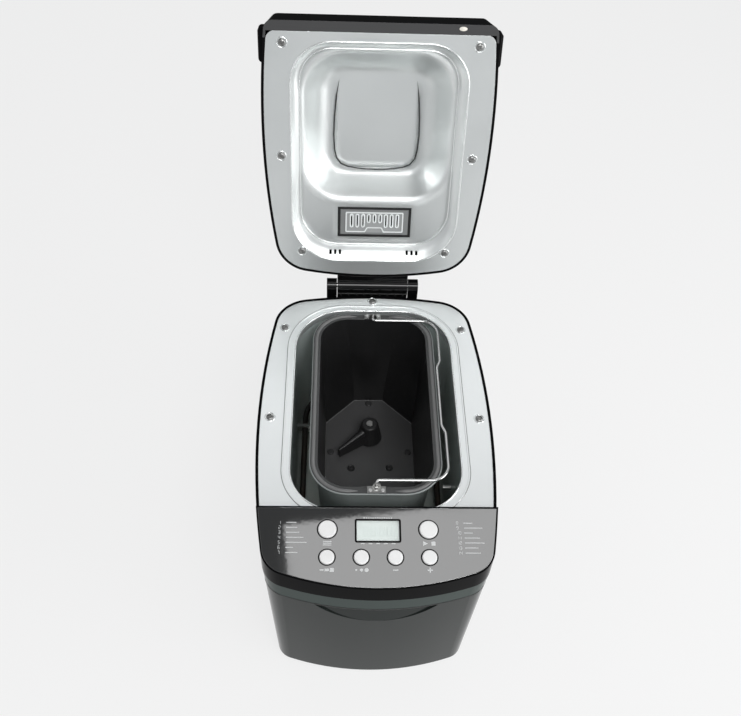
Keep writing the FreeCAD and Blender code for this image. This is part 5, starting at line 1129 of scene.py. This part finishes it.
# Rows of symbols under the buttons, and where each symbol stands along its row
UPPER_ROW, LOWER_ROW = -0.0344, -0.0594
PROGRAM_X, PLAY_X, STOP_X = -0.0466, 0.0412, 0.0506
CRUST_X, SIZE_X, MINUS_X, PLUS_X = -0.0512, -0.0200, 0.0155, 0.0466
PROGRAM_LINE, PROGRAM_PITCH, PROGRAM_STROKE = 0.0075, 0.0017, 0.0008
PLAY_LONG, PLAY_HALF, STOP_SIDE = 0.0044, 0.0022, 0.0038
STEP_PITCH = 0.0046
CRUST_BAR, CRUST_RISE = 0.0036, 0.0012
SIZE_DOT, SIZE_RISE = 0.0009, 0.0005
SIGN_SIZE, SIGN_STROKE = 0.0048, 0.0010
# Count, first place, pitch, row, width and depth of the ticks over and under the display
TICKS = ((13, -0.0126, 0.0021, -0.0098, 0.0010, 0.0011), (5, -0.0140, 0.0070, -0.0346, 0.0034, 0.0009))


class BREAD_OT_panel_print(bpy.types.Operator):
    """Print plain numbers, bars and symbols on the control panel"""

    bl_idname = "bread.panel_print"
    bl_label = "Panel print"

    def execute(self, context):
        sizes = context.scene.bread_sizes
        made = bmesh.new()
        for index, long in enumerate(LIST_BARS):
            column, line = divmod(index, LIST_LINES)
            x = LIST_X[column]
            y = LIST_TOP - line * sizes.line_pitch
            add_number(made, str(index + 1), x, y, sizes.numeral)
            print_shape(made, box_outline(x + LIST_BAR_START + long / 2, y, long, LIST_STROKE))
        add_symbols(made)
        mesh = mesh_from(made, "panel_print", PANEL_FACE)
        new_piece("panel_print", mesh, "ink", "housing")
        return {"FINISHED"}


def print_shape(made, outline):
    slab(made, outline, 0, INK_HEIGHT)


def add_number(made, digits, x, y, height):
    """Seven-segment style figures, drawn as slim bars."""
    for digit in digits:
        size = (height * FIGURE_WIDTH, height, height * FIGURE_STROKE)
        add_digit(made, SEGMENTS[int(digit)], x, y, size, (0, INK_HEIGHT))
        x += height * FIGURE_PITCH


def add_digit(made, shown, x, y, size, layer):
    """The shown bars of one figure, of a given width, height and stroke."""
    width, height, bar = size
    w, h = width / 2, height / 2
    upright = (bar, h - bar * BAR_GAP)
    flat = (width - bar * BAR_GAP, bar)
    places = (
        (x, y + h, flat),
        (x + w, y + h / 2, upright),
        (x + w, y - h / 2, upright),
        (x, y - h, flat),
        (x - w, y - h / 2, upright),
        (x - w, y + h / 2, upright),
        (x, y, flat),
    )
    for on, (bar_x, bar_y, (wide, deep)) in zip(shown, places):
        if on:
            slab(made, box_outline(bar_x, bar_y, wide, deep), *layer)


def add_symbols(made):
    """A symbol under each button and a row of ticks over and under the display."""
    for line in (-1, 0, 1):
        y = UPPER_ROW + line * PROGRAM_PITCH
        print_shape(made, box_outline(PROGRAM_X, y, PROGRAM_LINE, PROGRAM_STROKE))
    tip = (PLAY_X + PLAY_LONG, UPPER_ROW)
    print_shape(made, [(PLAY_X, UPPER_ROW - PLAY_HALF), tip, (PLAY_X, UPPER_ROW + PLAY_HALF)])
    print_shape(made, box_outline(STOP_X, UPPER_ROW, STOP_SIDE, STOP_SIDE))
    for step in range(3):
        along = step * STEP_PITCH
        print_shape(made, box_outline(CRUST_X + along, LOWER_ROW, CRUST_BAR, (step + 1) * CRUST_RISE))
        print_shape(made, disc_outline(SIZE_X + along, LOWER_ROW, SIZE_DOT + step * SIZE_RISE))
    print_shape(made, box_outline(MINUS_X, LOWER_ROW, SIGN_SIZE, SIGN_STROKE))
    print_shape(made, plus_outline(PLUS_X, LOWER_ROW, SIGN_SIZE, SIGN_STROKE))
    for count, first, pitch, row, wide, deep in TICKS:
        for step in range(count):
            print_shape(made, box_outline(first + step * pitch, row, wide, deep))


def plus_outline(x, y, size, bar):
    s, b = size / 2, bar / 2
    arm = ((-s, -b), (-b, -b), (-b, -s))
    corners = [*arm, *((-v, u) for u, v in arm), *((-u, -v) for u, v in arm), *((v, -u) for u, v in arm)]
    return [(x + u, y + v) for u, v in corners]


# Display

BEZEL_WIRE, BEZEL_SIDES, BEZEL_ROUND = 0.0009, 10, 0.0012
BEZEL_WIDER, BEZEL_DEEPER = 0.0012, 0.0006
# Heights between which the segments lie under the lens
SEGMENT_LAYER = (-0.00150, -0.00142)
SEGMENT_PLACES = (-0.0112, -0.0042, 0.0042, 0.0112)
# Width, height and stroke of a resting figure, which shows all its bars
SEGMENT_SIZE = (0.0042, 0.0092, 0.0009)
RESTING = SEGMENTS[8]
COLON_PLACES, COLON_DOT = (-0.002, 0.002), 0.0009


class BREAD_OT_display(bpy.types.Operator):
    """Frame the display and draw its resting segments under the lens"""

    bl_idname = "bread.display"
    bl_label = "Display"

    def execute(self, context):
        low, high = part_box("lcd_window")
        middle = -(PANEL_BACK.y - (low.y + high.y) / 2) / PANEL_OUT.z
        width, depth = high.x - low.x, (high.y - low.y) / PANEL_OUT.z
        outline = round_outline(middle, width + BEZEL_WIDER, depth + BEZEL_DEEPER, BEZEL_ROUND)
        bezel = ring_tube(laid(outline), BEZEL_WIRE, BEZEL_SIDES)
        round_piece("display_bezel", bezel, "gloss_black", "housing", PANEL_FACE)
        made = bmesh.new()
        for x in SEGMENT_PLACES:
            add_digit(made, RESTING, x, middle, SEGMENT_SIZE, SEGMENT_LAYER)
        for y in COLON_PLACES:
            slab(made, box_outline(0, middle + y, COLON_DOT, COLON_DOT), *SEGMENT_LAYER)
        segments = mesh_from(made, "display_segments", PANEL_FACE)
        new_piece("display_segments", segments, "display_ink", "housing")
        return {"FINISHED"}


# Button gap shadows

GAP_SHADOW_WIRE = 0.0005
GAP_SHADOW_STEPS = 32
# Radius of the dark rings painted as the shade in the gaps round the buttons, and the buttons that they are round
GAP_SHADOWS = (
    (0.0092, ("button_program", "button_start")),
    (0.0076, ("button_crust", "button_size", "button_minus", "button_plus")),
)


class BREAD_OT_button_gap_shadows(bpy.types.Operator):
    """Ring each push button with a dark ring on the panel, painted as the shade in the gap round it"""

    bl_idname = "bread.button_wells"
    bl_label = "Button gap shadows"

    def execute(self, context):
        scatter = Scatter()
        face = PANEL_FACE.inverted()
        whole = bmesh.new()
        for radius, names in GAP_SHADOWS:
            spots = [(*(face @ middle_of(name)).xy, 0) for name in names]
            circle = laid(disc_outline(0, 0, radius, GAP_SHADOW_STEPS))
            ring = mesh_from(ring_tube(circle, GAP_SHADOW_WIRE), "gap_shadow")
            whole.from_mesh(scatter.spread("wells", spots, ring, "gloss_black"))
        # The gloss black rings are painted shade in the gaps round the buttons.
        round_piece("button_wells", whole, "gloss_black", "housing", PANEL_FACE)
        return {"FINISHED"}


# Hinge skirt

SKIRT_HALF, SKIRT_ROUND, SKIRT_WALL = 0.0400, 0.0088, 0.0016
# Degrees where the curl round the barrel starts and that it sweeps, its steps, and the one the plate meets
CURL_START, CURL_SWEEP, CURL_STEPS, CURL_ROOT = 200, 80, 10, 5
RIB_COUNT, RIB_WIDE, RIB_DEEP = 9, 0.0022, 0.0030
RIB_ROUND, RIB_STEPS, RIB_END, RIB_SUNK = 0.0009, 3, 0.002, 0.0026
SKIRT_CREASE = 30.0


class BREAD_OT_hinge_skirt(bpy.types.Operator):
    """Close the gap under the hinge with a ribbed skirt"""

    bl_idname = "bread.hinge_skirt"
    bl_label = "Hinge skirt"

    def execute(self, context):
        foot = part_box("hinge_bracket")[0].z
        made = bmesh.new()
        plate = [(HINGE.y + y, z) for y, z in skirt_profile(HINGE.z, foot)]
        rings = [[made.verts.new((x, y, z)) for y, z in plate] for x in (-SKIRT_HALF, SKIRT_HALF)]
        join_rings(made, rings)
        for ring in rings:
            made.faces.new(ring)
        bmesh.ops.recalc_face_normals(made, faces=made.faces)
        rib = bmesh.new()
        outline = round_outline(0, RIB_WIDE, RIB_DEEP, RIB_ROUND, RIB_STEPS)
        slab(rib, outline, foot + RIB_END, HINGE.z - SKIRT_ROUND - RIB_END)
        pitch = SKIRT_HALF * 2 / RIB_COUNT
        row = HINGE.y - SKIRT_ROUND + RIB_SUNK
        spots = [((index - (RIB_COUNT - 1) / 2) * pitch, row, 0) for index in range(RIB_COUNT)]
        made.from_mesh(Scatter().spread("ribs", spots, mesh_from(rib, "rib"), "hinge_black"))
        mesh = smooth(mesh_from(made, "hinge_skirt"), SKIRT_CREASE)
        new_piece("hinge_skirt", mesh, "hinge_black", "housing")
        return {"FINISHED"}


def skirt_profile(axis, foot):
    """Outline in Y and Z of a plate that stands under the hinge and curls round its barrel."""
    turns = [math.radians(CURL_START + CURL_SWEEP * step / CURL_STEPS) for step in range(CURL_STEPS + 1)]
    reach = SKIRT_ROUND + SKIRT_WALL
    inner = [(SKIRT_ROUND * math.cos(a), axis + SKIRT_ROUND * math.sin(a)) for a in turns]
    outer = [(reach * math.cos(a), axis + reach * math.sin(a)) for a in turns]
    root = outer[CURL_ROOT][0]
    plate = [(root + SKIRT_WALL, foot), (root, foot)]
    return inner + outer[: CURL_ROOT + 1 : -1] + plate + outer[CURL_ROOT::-1]


# Lid stud

STUD_PLACE = Vector((0.0792, 0.2021, 0.4992))
# Radius and height of the stud before it is drawn out to an oval
STUD_PROFILE = ((0, 0.0012), (0.0016, 0.0010), (0.0026, 0.0002), (0.0026, -0.0006), (0, -0.0006))
STUD_OVAL = Matrix.Diagonal((1.5, 0.8, 1.0, 1.0))
STUD_STEPS = 24


class BREAD_OT_lid_stud(bpy.types.Operator):
    """Set a pale stud in the lid's front rim"""

    bl_idname = "bread.lid_stud"
    bl_label = "Lid stud"

    def execute(self, context):
        stud = lathe(STUD_PROFILE, STUD_STEPS)
        stud.transform(STUD_OVAL)
        facing_out = COVER_OUT.to_track_quat("Z", "X").to_matrix().to_4x4()
        across = Matrix.Rotation(math.pi / 2, 4, "Z")
        mesh = mesh_from(stud, "lid_stud", Matrix.Translation(STUD_PLACE) @ facing_out @ across)
        new_piece("lid_stud", smooth(mesh), "ceramic", "lid")
        return {"FINISHED"}


# Pan

# Radius and height of a floor rivet with a ring round its middle
FLOOR_RING_PROFILE = (
    (0, 0.0009),
    (0.0012, 0.0007),
    (0.0016, 0.0003),
    (0.0030, 0.0003),
    (0.0035, 0.0010),
    (0.0042, 0.0010),
    (0.0047, -0.0002),
    (0, -0.0002),
)
FLOOR_RING_STEPS = 28
FLOOR_RINGS = ((-0.0216, -0.0256, 0.0712), (0.0229, -0.0252, 0.0712))
# Left half of the pale line painted as the highlight at the back edge of the pan's floor
FLOOR_EDGE_LEFT = (
    (-0.0518, 0.1040),
    (-0.0516, 0.1056),
    (-0.0500, 0.1075),
    (-0.0340, 0.1235),
    (-0.0172, 0.1403),
)
FLOOR_EDGE_MIDDLE = (0.0, 0.1405)
FLOOR_EDGE_WIRE = 0.0006
# Half width, front, back, front and back corners of the rolled rim
ROLL_OUTLINE = (0.0620, -0.0762, 0.1505, 0.034, 0.034)
# Where the roll ends beside the bail's ears, how deep it lies under the rim, and its wire
ROLL_END, ROLL_SUNK, ROLL_WIRE, ROLL_SIDES = 0.0105, 0.0008, 0.0020, 12


class BREAD_OT_pan_lines(bpy.types.Operator):
    """Add the rings on the pan's floor, a pale tube painted as the highlight on its back edge, and roll its rim
    over in the same pale coat
    """

    bl_idname = "bread.pan_lines"
    bl_label = "Pan lines"

    def execute(self, context):
        ring = mesh_from(lathe(FLOOR_RING_PROFILE, FLOOR_RING_STEPS), "floor_ring")
        rings = Scatter().spread("pan_floor_rings", FLOOR_RINGS, ring, "nonstick")
        new_piece("pan_floor_rings", smooth(rings, TUBE_CREASE), "nonstick", "pan")
        edge = laid(both_sides(FLOOR_EDGE_LEFT, FLOOR_EDGE_MIDDLE), FLOOR_EDGE_HEIGHT, MIDDLE_Y)
        round_piece("pan_floor_edge", open_tube(edge, FLOOR_EDGE_WIRE), "worn_coat", "pan")
        # The rolled rim takes the paler coat as a painted highlight.
        round_piece("pan_rim_roll", rim_roll(), "worn_coat", "pan")
        return {"FINISHED"}


def front_to_front(outline):
    """An uneven outline's points from its front right corner, back and round to its front left one."""
    quarter = len(outline) // 4
    return outline[3 * quarter :] + outline[: 3 * quarter]


def rim_roll():
    """The pan's rim, rolled over on each side between the ears of the bail."""
    outline = front_to_front(uneven_outline(*ROLL_OUTLINE))
    _, front, back, _, _ = ROLL_OUTLINE
    half = [(ROLL_END, front), *outline[: len(outline) // 2], (ROLL_END, back)]
    whole = bmesh.new()
    for side in (-1, 1):
        path = laid([(side * x, y) for x, y in half], PAN_RIM - ROLL_SUNK, MIDDLE_Y)
        whole.from_mesh(mesh_from(open_tube(path, ROLL_WIRE, ROLL_SIDES), "roll"))
    return whole


# Deck

# Half width, front, back, front and back corners of the deck's lip and of its shadow line
LIP_OUTLINE = (0.0846, -0.0989, 0.1573, 0.0466, 0.0546)
LINE_OUTLINE = (0.0929, -0.1072, 0.1656, 0.0549, 0.0629)
LIP_WIRE, LINE_WIRE, LINE_STEPS, DECK_SUNK = 0.0008, 0.0004, 24, 0.0006


class BREAD_OT_deck_lines(bpy.types.Operator):
    """Lip the deck's opening and draw the shadow line of its bead as far as the panel"""

    bl_idname = "bread.deck_lines"
    bl_label = "Deck lines"

    def execute(self, context):
        low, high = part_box("deck_plate")
        height = high.z - DECK_SUNK
        lip = laid(uneven_outline(*LIP_OUTLINE), height, MIDDLE_Y)
        round_piece("deck_lip", ring_tube(lip, LIP_WIRE), "bead_sheet", "housing")
        line = laid(front_to_front(uneven_outline(*LINE_OUTLINE, LINE_STEPS)), height, MIDDLE_Y)
        shown = [point for point in line if point.y > low.y]
        round_piece("deck_line", open_tube(shown, LINE_WIRE), "screw_steel", "housing")
        return {"FINISHED"}


# Stage

# Name, place, point it is aimed at, width and depth, power in watts
LIGHTS = (
    ("overhead", (0.402, 0.132, 1.60), (0.402, 0.132, 0.0), (1.11, 0.27), 1.3),
    ("front", (0.25, -0.95, 1.60), (0, -0.15, 0.2), (0.9, 0.6), 15.0),
    ("right", (1.4, -0.5, 0.75), (0, 0.1, 0.35), (1.0, 1.0), 13.0),
    ("left", (-1.5, -0.2, 0.9), (0, 0, 0.25), (0.8, 1.2), 1.5),
    ("back", (0.0, 1.25, 1.65), (0, 0, 0.2), (2.4, 1.1), 4.6),
)
LIGHT_UP = Vector((-0.117, 0.993, 0.001))
# Half width, front and back of the floor
FLOOR_REACH = (2.5, -1.6, 1.35)
WHITE = (1.0, 1.0, 1.0)
# Spans of a direction's parts, backwards and upwards, over which the sky turns dim or bright again
BACK_DIMS, HORIZON_ENDS, ZENITH_DIMS = (0.3, 0.8), (0.34, 0.6), (0.75, 0.95)
DIM_SHARE, ZENITH_SHARE = 0.05, 0.8
CAMERA_PLACE = Vector((-0.0399, -0.5307, 0.9630))
CAMERA_AHEAD = Vector((0.03762, 0.6379, -0.7692))
CAMERA_UP = Vector((-0.01172, 0.76997, 0.63797))
SENSOR = 36.0


class BREAD_OT_stage(bpy.types.Operator):
    """Set out the floor, the lights and the camera"""

    bl_idname = "bread.stage"
    bl_label = "Stage"

    def execute(self, context):
        look = context.scene.bread_stage
        add_floor(look)
        add_surroundings(look)
        for light in LIGHTS:
            add_light(*light)
        add_camera(look.lens)
        context.scene.view_settings.view_transform = "Standard"
        return {"FINISHED"}


def add_floor(look):
    finish = Finish("floor")
    cloud = finish.noise(3.0)
    finish.surface(
        Base_Color=finish.mix(cloud, shade(look.floor, 0.98), look.floor),
        Roughness=0.8 + cloud * 0.1,
        Specular_IOR_Level=0.1,
        Emission_Color=rgba(WHITE),
        Emission_Strength=look.floor_glow,
    )
    half, front, back = FLOOR_REACH
    corners = [(-half, front, 0), (half, front, 0), (half, back, 0), (-half, back, 0)]
    sheet = bpy.data.meshes.new("floor")
    sheet.from_pydata(corners, [], [(0, 1, 2, 3)])
    sheet.materials.append(finish.material)
    linked("floor", sheet)


def add_surroundings(look):
    """An even sky that glossy pieces see darker low at the back and straight above."""
    world = bpy.data.worlds.new("surroundings")
    bpy.context.scene.world = world
    world.use_nodes = True
    sky = world.node_tree.nodes["Background"]
    web = Web(world.node_tree)
    way = web.node("ShaderNodeTexCoord", output="Generated")
    behind = web.node("ShaderNodeSeparateXYZ", {}, {0: way}, 1)
    above = web.node("ShaderNodeSeparateXYZ", {}, {0: way}, 2)
    unseen = 1 - web.node("ShaderNodeLightPath", output="Is Camera Ray")
    horizon = behind.step(*BACK_DIMS) * (1 - above.step(*HORIZON_ENDS))
    dim = (horizon + above.step(*ZENITH_DIMS) * ZENITH_SHARE) * unseen
    web.feed(sky.inputs["Color"], web.mix(dim, look.sky, shade(look.sky, DIM_SHARE)))
    sky.inputs["Strength"].default_value = look.sky_strength


def facing(ahead, up):
    """Turn that looks along ahead with up uppermost."""
    back = -ahead.normalized()
    right = up.cross(back).normalized()
    return Matrix((right, back.cross(right), back)).transposed().to_4x4()


def add_light(name, place, aim, size, power):
    lamp = bpy.data.lights.new(name, "AREA")
    lamp.shape = "RECTANGLE"
    lamp.size, lamp.size_y = size
    lamp.energy = power
    light = linked(name, lamp)
    light.visible_camera = False
    ahead = Vector(aim) - Vector(place)
    light.matrix_world = Matrix.Translation(Vector(place) + MIDDLE) @ facing(ahead, LIGHT_UP)


def add_camera(lens):
    camera = linked("camera", bpy.data.cameras.new("camera"))
    camera.data.sensor_width = SENSOR
    camera.data.lens = lens
    camera.matrix_world = Matrix.Translation(CAMERA_PLACE + MIDDLE) @ facing(CAMERA_AHEAD, CAMERA_UP)
    bpy.context.scene.camera = camera


# Add-on

OPERATORS = (
    BREAD_OT_finish_cad,
    BREAD_OT_screws,
    BREAD_OT_vent_rims,
    BREAD_OT_liner_lines,
    BREAD_OT_seam,
    BREAD_OT_panel_print,
    BREAD_OT_display,
    BREAD_OT_button_gap_shadows,
    BREAD_OT_hinge_skirt,
    BREAD_OT_lid_stud,
    BREAD_OT_pan_lines,
    BREAD_OT_deck_lines,
    BREAD_OT_stage,
)


class BREAD_PT_sidebar(bpy.types.Panel):
    """Lists the steps in the 3D view's sidebar"""

    bl_idname = "BREAD_PT_sidebar"
    bl_label = "Bread Machine"
    bl_space_type = "VIEW_3D"
    bl_region_type = "UI"
    bl_category = "Bread Machine"

    def draw(self, context):
        for operator in OPERATORS:
            self.layout.operator(operator.bl_idname)


GROUPS = {"bread_colours": FinishColours, "bread_sizes": FittingSizes, "bread_stage": StageLook}


def register():
    for name, group in GROUPS.items():
        bpy.utils.register_class(group)
        setattr(bpy.types.Scene, name, PointerProperty(type=group))
    for operator in OPERATORS:
        bpy.utils.register_class(operator)
    bpy.utils.register_class(BREAD_PT_sidebar)


def unregister():
    bpy.utils.unregister_class(BREAD_PT_sidebar)
    for operator in reversed(OPERATORS):
        bpy.utils.unregister_class(operator)
    for name, group in GROUPS.items():
        delattr(bpy.types.Scene, name)
        bpy.utils.unregister_class(group)


def main():
    register()
    for operator in OPERATORS:
        group, call = operator.bl_idname.split(".")
        getattr(getattr(bpy.ops, group), call)()


if __name__ == "__main__":
    main()
